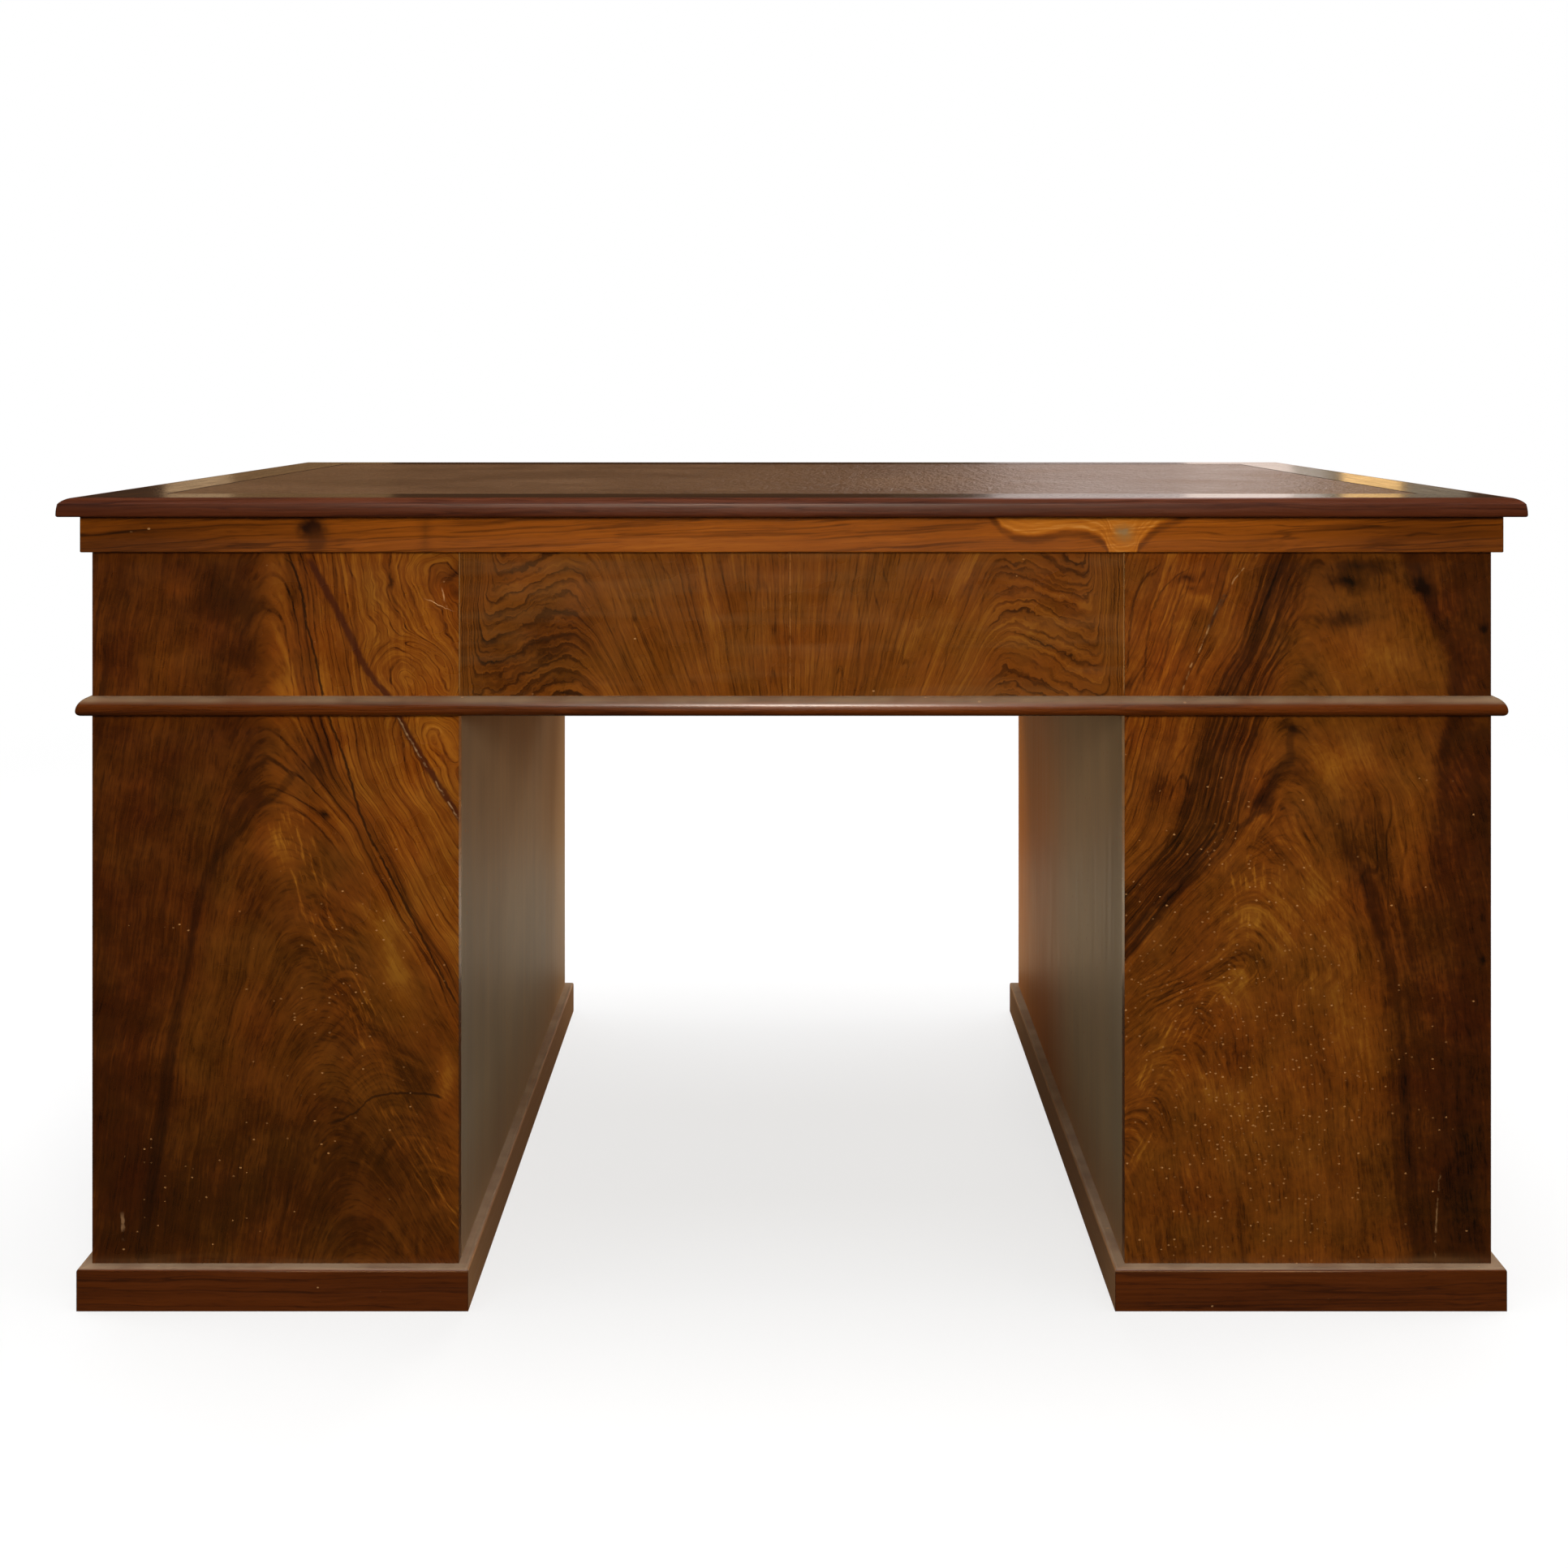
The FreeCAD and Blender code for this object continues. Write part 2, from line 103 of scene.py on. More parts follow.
def newMaterial(name):
    made = bpy.data.materials.new(name)
    made.use_nodes = True
    made.node_tree.nodes.clear()
    return made, made.node_tree


def newPiece(name, points, faces):
    mesh = bpy.data.meshes.new(name)
    mesh.from_pydata(points, [], faces)
    made = bpy.data.objects.new(name, mesh)
    scene.collection.objects.link(made)
    return made


# lamps that light the wood and leave no reflection, one that only shines in the polish, and cards that are
# seen in the polish alone
studio = {
    "cameraPlace": (0, -2.236, 0.8833),  # metres
    "lens": 43.14,  # mm, on a 36 mm sensor
    "shift": (-0.0049, -0.2515),
    "floorReach": 14, "floorFade": (1.2, 3.4),  # metres from the middle, where the shade on the paper fades
    "floorShade": "#e4e8ee", "floorDepth": 0.31,  # how much of that shade shows
    "roomColour": "#cdbba6", "roomStrength": 0.12,
    "mirroredRoom": 0.045,  # how bright the room is in the polish
    # name: place, target, size in metres, watts, colour, and whether it gives light or a highlight
    "lamps": {
        "frontLamp": ((0.15, -2.7, 1.25), (0, -0.42, 0.52), (1.0, 0.5), 46, "#fff0dc", "light"),
        "shineLamp": ((0.0, -1.9, 2.75), (0, -0.42, 0.6), (0.6, 0.2), 80, "#fff0e2", "highlight"),
        "topLamp": ((0, 0.2, 3.4), (0, 0, 0), (5, 4), 200, "#ffffff", "light"),
        "backLamp": ((0.4, 3.2, 1.7), (0, 0.42, 0.45), (1.2, 0.6), 46, "#fff6ea", "light"),
        "leftLamp": ((-3.6, 0.2, 1.6), (-0.7, 0, 0.4), (2, 1), 60, "#fff6ea", "light"),
        "rightLamp": ((3.6, 0.2, 1.6), (0.7, 0, 0.4), (2, 1), 60, "#fff6ea", "light"),
    },
    # name: two opposite corners, strength, colour
    "cards": {
        "leftCard": ((-1.88, 3.4, 0.86), (-1.68, 3.4, 1.2), 0.9, "#ffd6a4"),
        "leftFarCard": ((-1.68, 3.4, 0.86), (-1.2, 3.4, 1.2), 0.36, "#ffcc90"),
        "middleCard": ((-1.2, 3.4, 0.86), (0.3, 3.4, 0.985), 0.06, "#e8bc78"),
        "brighterCard": ((0.3, 3.4, 0.86), (1.18, 3.4, 0.985), 0.23, "#efd2a0"),
        "rightCard": ((1.18, 3.4, 0.86), (1.5, 3.4, 1.2), 1.3, "#fbe6d4"),
        "rightOliveCard": ((1.5, 3.4, 0.86), (1.64, 3.4, 1.2), 0.4, "#d8d0a0"),
        "rightGoldCard": ((1.65, 3.4, 0.86), (1.83, 3.4, 1.2), 2.4, "#ffcf88"),
        "rightFarCard": ((1.84, 3.4, 0.86), (2.03, 3.4, 1.2), 0.6, "#e8dcc0"),
        "rightHighCard": ((0.6, 3.4, 1.2), (1.6, 3.4, 2.6), 1.9, "#fff0ec"),
        "floorLeftCard": ((-0.9, 0.6, 0.002), (0, 1.3, 0.002), 0.62, "#f2ead8"),
        "floorLeftFarCard": ((-0.9, 1.3, 0.002), (0, 5.0, 0.002), 0.55, "#ffcc90"),
        "floorRightCard": ((0, 0.6, 0.002), (0.9, 1.3, 0.002), 0.85, "#ffdcb0"),
        "floorRightFarCard": ((0, 1.3, 0.002), (0.9, 5.0, 0.002), 0.52, "#ff9440"),
        "ceilingCard": ((-0.6, -2.6, 1.7), (0.5, -1.2, 2.4), 3.8, "#ecceb0"),
    },
}

scene.view_settings.view_transform = "Standard"
lensData = bpy.data.cameras.new("studioCamera")
lensData.lens = studio["lens"]
lensData.sensor_width = 36
lensData.shift_x, lensData.shift_y = studio["shift"]
camera = bpy.data.objects.new("studioCamera", lensData)
camera.location = studio["cameraPlace"]
camera.rotation_euler = (math.radians(90), 0, 0)
scene.collection.objects.link(camera)
scene.camera = camera

reach = studio["floorReach"]
corners = [(-reach, -reach, 0), (reach, -reach, 0), (reach, reach, 0), (-reach, reach, 0)]
floor = newPiece("studioFloor", corners, [(0, 1, 2, 3)])
floor.visible_diffuse = False  # its whiteness doesn't spill on the wood
floor.visible_glossy = False
floor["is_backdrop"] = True
paper, tree = newMaterial("white backdrop paper")
place = addNode(tree, "TexCoord").node.outputs["Object"]
away = addNode(tree, "VectorMath", (place,), operation="LENGTH").node.outputs["Value"]
shade = addNode(tree, "MapRange", (away, *studio["floorFade"], studio["floorDepth"], 0),
                interpolation_type="SMOOTHSTEP")
paperShade = addNode(tree, "BsdfDiffuse", {"Color": linear(studio["floorShade"])})
lit = addNode(tree, "Emission", {"Color": linear("#ffffff"), "Strength": 1})
addNode(tree, "OutputMaterial", {"Surface": addNode(tree, "MixShader", (shade, lit, paperShade))})
floor.data.materials.append(paper)

world = bpy.data.worlds.new("studioRoom")
scene.world = world
world.use_nodes = True
tree = world.node_tree
tree.nodes.clear()
ray = addNode(tree, "LightPath").node.outputs
strength = addNode(tree, "Mix", (ray["Is Glossy Ray"], studio["roomStrength"], studio["mirroredRoom"]))
room = addNode(tree, "Background", {"Color": linear(studio["roomColour"]), "Strength": strength})
wall = addNode(tree, "Background", {"Color": linear("#ffffff"), "Strength": 1.0})
addNode(tree, "OutputWorld", {"Surface": addNode(tree, "MixShader", (ray["Is Camera Ray"], room, wall))})

for name, (place, target, size, watts, colour, gives) in studio["lamps"].items():
    data = bpy.data.lights.new(name, "AREA")
    data.shape = "RECTANGLE"
    data.size, data.size_y = size
    data.energy = watts
    data.color = linear(colour)[:3]
    lamp = bpy.data.objects.new(name, data)
    lamp.location = place
    lamp.rotation_euler = (Vector(target) - Vector(place)).to_track_quat("-Z", "Y").to_euler()
    lamp.visible_glossy = gives != "light"
    lamp.visible_diffuse = gives != "highlight"
    scene.collection.objects.link(lamp)

for name, ((x0, y0, z0), (x1, y1, z1), strength, colour) in studio["cards"].items():
    corners = [(x0, y0, z0), (x1, y0, z0), (x1, y1, z1), (x0, y1, z1)]
    card = newPiece(name, corners, [(0, 1, 2, 3)])
    card.visible_camera = card.visible_diffuse = card.visible_shadow = False
    card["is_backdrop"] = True
    glow, tree = newMaterial(name + " glow")
    light = addNode(tree, "Emission", {"Color": linear(colour), "Strength": strength})
    addNode(tree, "OutputMaterial", {"Surface": light})
    card.data.materials.append(glow)
print("studio ready")


# Shared by the woods: a point of the surface in mm, soft random bends, lines, clouds and chips.
def millimetres(tree, mirrored=False):
    place = addNode(tree, "TexCoord").node.outputs["Object"]
    across = -1000 if mirrored else 1000
    return addNode(tree, "VectorMath", (place, (across, 1000, 1000)), operation="MULTIPLY")


def sway(tree, place, span, amount, seed=0.0):  # moves every point by a soft random amount
    shifted = addNode(tree, "VectorMath", (place, (seed * 100, seed * 200, seed * 300)), operation="ADD")
    cloud = addNode(tree, "TexNoise", {"Vector": shifted, "Scale": 1 / span, "Detail": 2.0, "Roughness": 0.5})
    centred = addNode(tree, "VectorMath", (cloud.node.outputs["Color"], [0.5] * 3), operation="SUBTRACT")
    return addNode(tree, "VectorMath", (centred, [amount] * 3, place), operation="MULTIPLY_ADD")


def lineAt(tree, height, points, start=0, end=780):  # a line drawn through (height, place) points, all in mm
    low, high = min(place for at, place in points), max(place for at, place in points)
    share = addNode(tree, "MapRange", (height, start, end, 0, 1))
    line = [((at - start) / (end - start), (place - low) / (high - low)) for at, place in sorted(points)]
    bent = addNode(tree, "FloatCurve", {"Value": share}, line=line)
    return addNode(tree, "MapRange", (bent, 0, 1, low, high), clamp=False)


cloudDepth = 200  # mm that a cloud reaches into the wood


# soft clouds on one face, each with its x, z, half width, half height, turn in degrees, and amount
def addPatches(tree, place, total, patches, face=-424):
    for x, z, wide, high, turn, amount in patches:
        cloud = {"Vector": place, "Location": (x, face, z), "Rotation": (0, math.radians(turn), 0),
                 "Scale": (wide, cloudDepth, high)}
        local = addNode(tree, "Mapping", cloud, vector_type="TEXTURE")
        soft = addNode(tree, "TexGradient", (local,), gradient_type="QUADRATIC_SPHERE").node.outputs["Fac"]
        total = addNode(tree, "Math", (soft, amount, total), operation="MULTIPLY_ADD")
    return total


def mixIn(tree, total, value, amount, middle=0.5):  # total + (value - middle) * amount
    centred = addNode(tree, "Math", (value, middle), operation="SUBTRACT")
    return addNode(tree, "Math", (centred, amount, total), operation="MULTIPLY_ADD")


def hump(tree, value, centre, flat, edge, height=1.0):  # height round the centre value, 0 from the edge on
    off = addNode(tree, "Math", (value, centre), operation="SUBTRACT")
    off = addNode(tree, "Math", (off,), operation="ABSOLUTE")
    return addNode(tree, "MapRange", (off, flat, edge, height, 0), interpolation_type="SMOOTHSTEP")


noiseSpan = (0.3, 0.7)  # most of a noise texture lies between these
poreSpan = (0.56, 0.72)  # only its peaks are pores
chip = {"stretch": (0.7, 1.0, 1.0), "reach": (0.08, 0.24), "soft": 0.05, "strength": (0.2, 0.85)}


def chips(tree, place, size, share):  # small chips in the polish: a few of the cells hold a dot
    flat = addNode(tree, "VectorMath", (place, chip["stretch"]), operation="MULTIPLY")
    cells = addNode(tree, "TexVoronoi", {"Vector": flat, "Scale": 1 / size, "Randomness": 1.0})
    pick = addNode(tree, "SeparateColor", (cells.node.outputs["Color"],))
    chosen = addNode(tree, "Math", (share, pick), operation="GREATER_THAN")
    reach = addNode(tree, "MapRange", (pick.node.outputs["Green"], 0, 1, *chip["reach"]))
    dot = addNode(tree, "Math", (reach, cells.node.outputs["Distance"]), operation="SUBTRACT")
    dot = addNode(tree, "MapRange", (dot, 0, chip["soft"], 0, 1))
    strength = addNode(tree, "MapRange", (pick.node.outputs["Blue"], 0, 1, *chip["strength"]))
    dot = addNode(tree, "Math", (dot, strength), operation="MULTIPLY")
    return addNode(tree, "Math", (dot, chosen), operation="MULTIPLY")


def finish(tree, colour, rough, height, relief, **sockets):  # relief: its strength, and its depth in mm
    strength, depth = relief
    bump = addNode(tree, "Bump", {"Height": height, "Strength": strength, "Distance": depth / 1000})
    sockets.update({"Base Color": colour, "Roughness": rough, "Normal": bump})
    addNode(tree, "OutputMaterial", {"Surface": addNode(tree, "BsdfPrincipled", sockets)})


# American crotch walnut, sawn into 1 mm veneer, oiled and French polished by hand. The eye gets a plume of
# pale feathered wood inside a dark arch, with plain red-brown wood on one side and striped on the other.
walnutShades = {
    "red": [(0.0, "#1a0802"), (0.25, "#431c04"), (0.5, "#793b09"), (0.75, "#a56115"), (1.0, "#cd8f3c")],
    "golden": [(0.0, "#190d03"), (0.25, "#442405"), (0.5, "#75430f"), (0.75, "#99681f"), (1.0, "#c09647")],
}
crotchWarmth = {"sides": (0.54, 0.46), "plume": 0.24}  # share of red in plain and striped wood, in the plume
veneerWear = {
    "waxAndReflectionTint": "#8f6a42", "wipeMm": (170, 1, 14),  # old wax and dust, wiped from side to side; in strips along a panel's top and bottom it is painted reflection
    "chip": "#b98a58", "chipShare": 0.004, "chipMm": 4.6,
    "pores": 0.1, "warmthDrift": 1.6, "rough": (0.24, 0.34), "relief": (0.25, 0.6),
}
veneerScale = {  # mm; two numbers are across and along the grain
    "ripple": 16, "mottle": 8, "cloud": 38, "mood": 60, "arch": 60, "feather": 45, "rings": 34, "gap": 8,
    "lateWood": (40, 300), "comb": (3.2, 240), "stroke": (7, 60), "fleck": (4.5, 26),
    "pore": (0.9, 12),  # real pores are 0.2 mm wide: drawn four times as wide, so that they show
    "patchEdge": (14, 13), "knotBends": ((45, 24), (14, 6)),  # span and amount of a bend
}
veneerFade = {  # where one thing passes into the next, in mm
    "plume": (-20, 6), "stripes": 30, "strokes": 30, "underKnot": (-30, 8), "lineEnd": 8,
    # the same, as parts of a cloud or of a noise
    "knot": (0.0, 0.14), "arch": (0.35, 0.6), "feather": (0.4, 0.6), "flecks": (0.5, 0.72),
    "fleckPatch": (0.42, 0.58), "rings": (0.36, 0.58), "gap": 0.08, "lateWood": (0.4, 0.6),
    "pores": (0.54, 0.72), "waxAndReflectionTint": (0.45, 0.75),
}


def alongGrain(tree, flow, place, across, along, **noise):  # flow is equal all along one grain line
    parts = addNode(tree, "SeparateXYZ", (place,))
    vector = addNode(tree, "CombineXYZ", (
        addNode(tree, "Math", (flow, 1 / across), operation="MULTIPLY"),
        addNode(tree, "Math", (parts, 1 / along), operation="MULTIPLY"),
        addNode(tree, "Math", (parts.node.outputs["Z"], 1 / along), operation="MULTIPLY")))
    return addNode(tree, "TexNoise", {"Vector": vector, "Scale": 1.0, **noise})


# 1 on a line drawn through (z, x) points, or (x, z) points if it is lying; broken says how much is missing
def drawnLine(tree, place, points, wide, broken, soft=7, lying=False):
    rough = sway(tree, place, soft, soft / 2)
    parts = addNode(tree, "SeparateXYZ", (rough,))
    run, side = (parts, parts.node.outputs["Z"]) if lying else (parts.node.outputs["Z"], parts)
    off = addNode(tree, "Math", (side, lineAt(tree, run, points, -700, 780)), operation="SUBTRACT")
    core = hump(tree, off, 0.0, wide * 0.3, wide)
    low, high = min(at for at, place in points), max(at for at, place in points)
    half = (high - low) / 2
    ends = hump(tree, run, (low + high) / 2, half - veneerFade["lineEnd"], half)
    gaps = addNode(tree, "TexNoise", {"Vector": place, "Scale": 1 / veneerScale["gap"], "Detail": 2.0})
    edge = veneerFade["gap"]
    gaps = addNode(tree, "MapRange", (gaps, broken - edge, broken + edge, 0, 1))
    core = addNode(tree, "Math", (core, ends), operation="MULTIPLY")
    return addNode(tree, "Math", (core, gaps), operation="MULTIPLY")


def bendOverKnots(tree, place, flow, knots, face):  # grain that bends over a knot and runs on below it
    for knotX, knotZ, wide, level, lean in knots:
        near = addPatches(tree, place, 0.0, [(knotX, knotZ, wide, wide, 0, 1)], face)
        near = addNode(tree, "MapRange", (near, *veneerFade["knot"], 0, 1), interpolation_type="SMOOTHSTEP")
        off = place
        for span, amount in veneerScale["knotBends"]:
            off = sway(tree, off, span, amount, level)
        off = addNode(tree, "VectorMath", (off, (knotX, face, knotZ)), operation="SUBTRACT")
        off = addNode(tree, "SeparateXYZ", (off,))
        above = off.node.outputs["Z"]
        aside = addNode(tree, "Math", (above, lean, off), operation="MULTIPLY_ADD")
        bend = addNode(tree, "MapRange", (above, *veneerFade["underKnot"], 0.05, 0.9))
        above = addNode(tree, "Mix", (bend, 0.0, above))
        rings = addNode(tree, "CombineXYZ", (aside, above))
        rings = addNode(tree, "VectorMath", (rings,), operation="LENGTH").node.outputs["Value"]
        rings = addNode(tree, "Math", (level, rings), operation="SUBTRACT")
        flow = addNode(tree, "Mix", (near, flow, rings))
    return flow


def secondPlume(tree, x, z, side, tone, warmth, look):  # a paler plume above the first, with a dark edge
    under = addNode(tree, "Math", (lineAt(tree, z, look["line"]), x), operation="SUBTRACT")
    fade = addNode(tree, "MapRange", (z, *look["fade"], 0, 1), interpolation_type="SMOOTHSTEP")
    other = addNode(tree, "MapRange", (side, 0, 1, 1, 0))
    fade = addNode(tree, "Math", (fade, other), operation="MULTIPLY")
    shown = addNode(tree, "MapRange", (under, -2, 10, 0, 1), interpolation_type="SMOOTHSTEP")
    shown = addNode(tree, "Math", (shown, fade), operation="MULTIPLY")
    tone = addNode(tree, "Math", (shown, look["lift"], tone), operation="MULTIPLY_ADD")
    warmth = addNode(tree, "Math", (shown, -look["gold"], warmth), operation="MULTIPLY_ADD")
    rim = addNode(tree, "Math", (hump(tree, under, -5, 1, 9, look["rim"]), fade), operation="MULTIPLY")
    return addNode(tree, "Math", (tone, rim), operation="SUBTRACT"), warmth


def darkBands(tree, place, across, side, tone, bands):  # beside the plume, each combed with fine lines
    for low, high, amount, combed in bands:
        band = hump(tree, across, (low + high) / 2, (high - low) * 0.3, (high - low) * 0.6)
        band = addNode(tree, "Math", (band, side), operation="MULTIPLY")
        tone = addNode(tree, "Math", (band, -amount, tone), operation="MULTIPLY_ADD")
        comb = alongGrain(tree, across, place, *veneerScale["comb"], Detail=2.0, Roughness=0.6)
        tone = mixIn(tree, tone, comb, addNode(tree, "Math", (band, combed), operation="MULTIPLY"))
    return tone


# strokes that fall away on both sides of the plume's middle line, and bright flecks along it
def drawFeather(tree, place, x, z, plume, tone, look):
    off = addNode(tree, "Math", (x, lineAt(tree, z, look["line"])), operation="SUBTRACT")
    away = addNode(tree, "Math", (off, off, look["soft"] ** 2), operation="MULTIPLY_ADD")
    away = addNode(tree, "Math", (away,), operation="SQRT")
    fall = addNode(tree, "Math", (away, look["fall"], z), operation="MULTIPLY_ADD")
    patchy = addNode(tree, "TexNoise", {"Vector": place, "Scale": 1 / veneerScale["feather"], "Detail": 2.0})

    thick, reach = veneerScale["stroke"]
    strokes = (addNode(tree, "Math", (fall, 1 / thick), operation="MULTIPLY"), 0.0,
               addNode(tree, "Math", (away, 1 / reach), operation="MULTIPLY"))
    strokes = addNode(tree, "CombineXYZ", strokes)
    strokes = addNode(tree, "TexNoise", {"Vector": strokes, "Scale": 1.0, "Detail": 4.0, "Roughness": 0.6})
    fade = addNode(tree, "MapRange", (away, veneerFade["strokes"], look["reach"], look["depth"], 0.1))
    uneven = addNode(tree, "MapRange", (patchy, *veneerFade["feather"], 0.15, 1.4))
    fade = addNode(tree, "Math", (fade, uneven), operation="MULTIPLY")
    tone = mixIn(tree, tone, strokes, addNode(tree, "Math", (fade, plume), operation="MULTIPLY"))

    thick, reach = veneerScale["fleck"]
    flecks = (addNode(tree, "Math", (off, 1 / thick), operation="MULTIPLY"), 0.0,
              addNode(tree, "Math", (z, 1 / reach), operation="MULTIPLY"))
    flecks = addNode(tree, "CombineXYZ", flecks)
    flecks = addNode(tree, "TexNoise", {"Vector": flecks, "Scale": 1.0, "Detail": 3.0, "Roughness": 0.6})
    flecks = addNode(tree, "MapRange", (flecks, *veneerFade["flecks"], 0, look["flecks"]))
    near = addNode(tree, "Math", (hump(tree, off, 0.0, 6, look["fleckReach"]), plume), operation="MULTIPLY")
    for share in (near, addNode(tree, "MapRange", (patchy, *veneerFade["fleckPatch"], 1.3, 0.1))):
        flecks = addNode(tree, "Math", (flecks, share), operation="MULTIPLY")
    return addNode(tree, "Math", (tone, flecks), operation="ADD")


# where a trunk forks: the flow of the grain, how striped the wood is, its tone, and its share of red
def crotchGrain(tree, place, look, face):
    parts = addNode(tree, "SeparateXYZ", (place,))
    x, z = parts, parts.node.outputs["Z"]
    pastLeft = addNode(tree, "Math", (lineAt(tree, z, look["leftFlank"]), x), operation="SUBTRACT")
    pastRight = addNode(tree, "Math", (x, lineAt(tree, z, look["rightFlank"])), operation="SUBTRACT")
    pastRight = addNode(tree, "Math", (pastRight, look["rightPace"]), operation="MULTIPLY")
    flow = addNode(tree, "Math", (pastLeft, pastRight, look["crownWidth"]), operation="SMOOTH_MAX")
    flow = bendOverKnots(tree, place, flow, look["knots"], face)
    dip = addNode(tree, "MapRange", (z, *look["crownDip"]))
    edge = addNode(tree, "Math", (flow, dip), operation="SUBTRACT")
    plume = addNode(tree, "MapRange", (edge, *veneerFade["plume"], 1, 0), interpolation_type="SMOOTHSTEP")

    lead = addNode(tree, "Math", (pastRight, pastLeft), operation="SUBTRACT")
    turn = veneerFade["stripes"] * look["stripedSide"]
    side = addNode(tree, "MapRange", (lead, -turn, turn, 0, 1))
    striped = addNode(tree, "Mix", (plume, side, 0.0))
    calm = addPatches(tree, place, 0.0, look["calm"], face)
    calm = addNode(tree, "MapRange", (calm, 0, 0.5, 1, 0.15))
    striped = addNode(tree, "Math", (striped, calm), operation="MULTIPLY")
    striped = addPatches(tree, place, striped, look["lively"], face)

    tone = addNode(tree, "Mix", (side, look["plainTone"], look["stripedTone"]))
    warmth = addNode(tree, "Mix", (side, *crotchWarmth["sides"]))
    if "secondPlume" in look:
        tone, warmth = secondPlume(tree, x, z, side, tone, warmth, look["secondPlume"])
    tone = addNode(tree, "Mix", (plume, tone, look["plumeTone"]))
    archCentre, archWide, archDark = look["arch"]
    uneven = addNode(tree, "TexNoise", {"Vector": place, "Scale": 1 / veneerScale["arch"], "Detail": 2.0})
    uneven = addNode(tree, "MapRange", (uneven, *veneerFade["arch"], 0.4, 1.2))
    arch = hump(tree, edge, archCentre, 1, archWide, archDark)
    arch = addNode(tree, "Math", (arch, uneven), operation="MULTIPLY")
    tone = addNode(tree, "Math", (tone, arch), operation="SUBTRACT")
    across = pastRight if look["stripedSide"] > 0 else pastLeft
    tone = darkBands(tree, place, across, side, tone, look["bands"])
    tone = drawFeather(tree, place, x, z, plume, tone, look["feather"])
    return flow, striped, tone, addNode(tree, "Mix", (plume, warmth, crotchWarmth["plume"]))


# bookmatched: a fan of rays at the joint, and arches beyond it
def fanGrain(tree, place, look, face):
    parts = addNode(tree, "SeparateXYZ", (place,))
    z = parts.node.outputs["Z"]
    away = addNode(tree, "Math", (parts, look["joint"]), operation="SUBTRACT")
    away = addNode(tree, "Math", (away,), operation="ABSOLUTE")
    rise = addNode(tree, "Math", (z, look["fanFoot"]), operation="SUBTRACT")
    ray = addNode(tree, "Math", (away, rise), operation="DIVIDE")
    ray = addNode(tree, "Math", (ray, look["fanReach"]), operation="MULTIPLY")
    fan = addNode(tree, "Math", (look["crown"], ray), operation="SUBTRACT")
    slope = addNode(tree, "Math", (away, look["crown"]), operation="SUBTRACT")
    slope = addNode(tree, "Math", (slope, look["shoulder"], z), operation="MULTIPLY_ADD")
    slope = addNode(tree, "Math", (slope, look["crownFoot"]), operation="SUBTRACT")
    slope = addNode(tree, "Math", (slope, look["pace"]), operation="MULTIPLY")
    flow = addNode(tree, "Math", (fan, slope, look["crownWidth"]), operation="SMOOTH_MAX")
    edge = addNode(tree, "Math", (look["edge"], away), operation="SUBTRACT")
    edge = addNode(tree, "Math", (edge, look["edgePace"]), operation="MULTIPLY")
    flow = addNode(tree, "Math", (flow, edge, look["edgeWidth"]), operation="SMOOTH_MIN")
    arched = addNode(tree, "Math", (slope, fan), operation="SUBTRACT")
    arched = addNode(tree, "MapRange", (arched, *look["archFade"], 0, 1))
    # dark lines drawn by the year rings: sharp above, fading below, and faint here and there
    wave = {"Vector": place, "Scale": 1 / veneerScale["rings"], "Detail": 4.0, "Roughness": 0.6}
    wave = addNode(tree, "TexNoise", wave)
    jagged = mixIn(tree, flow, wave, addNode(tree, "Mix", (arched, *look["ringWave"])))
    tone = addNode(tree, "Mix", (arched, look["fanTone"], look["archTone"]))
    for gap, seed, amount in look["rings"]:
        count = addNode(tree, "Math", (jagged, 1 / gap, seed), operation="MULTIPLY_ADD")
        saw = addNode(tree, "Math", (count,), operation="FRACT")
        ring = addNode(tree, "MapRange", (saw, 0.5, 0.94, 0, 1), interpolation_type="SMOOTHSTEP")
        sharp = addNode(tree, "MapRange", (saw, 0.94, 1.0, 1, 0))
        faint = alongGrain(tree, jagged, place, gap * 1.6, 90, Detail=1.0)
        faint = addNode(tree, "MapRange", (faint, *veneerFade["rings"], amount * 0.15, amount))
        for share in (sharp, faint, arched):
            ring = addNode(tree, "Math", (ring, share), operation="MULTIPLY")
        tone = addNode(tree, "Math", (tone, ring), operation="SUBTRACT")
    striped = addNode(tree, "Mix", (arched, *look["striped"]))
    return jagged, striped, tone, look["warmth"]


def waxReflectionAndChips(tree, place, colour, look, face):  # wax wiped about, partly as painted reflection, and chips, laid over the colour
    wiped = addNode(tree, "VectorMath", (place, [1 / span for span in veneerWear["wipeMm"]]),
                    operation="MULTIPLY")
    wiped = addNode(tree, "TexNoise", {"Vector": wiped, "Scale": 1.0, "Detail": 2.0})
    wiped = addNode(tree, "MapRange", (wiped, *veneerFade["waxAndReflectionTint"], 0, 1))
    share = addPatches(tree, place, look["waxAndReflectionAmount"], look["waxAndReflectionClouds"], face)
    wiped = addNode(tree, "Math", (wiped, share), operation="MULTIPLY")
    colour = addNode(tree, "Mix", (wiped, colour, linear(veneerWear["waxAndReflectionTint"])), data_type="RGBA")
    share = addPatches(tree, place, veneerWear["chipShare"], look["chips"], face)
    chipped = chips(tree, place, veneerWear["chipMm"], share)
    return addNode(tree, "Mix", (chipped, colour, linear(veneerWear["chip"])), data_type="RGBA")


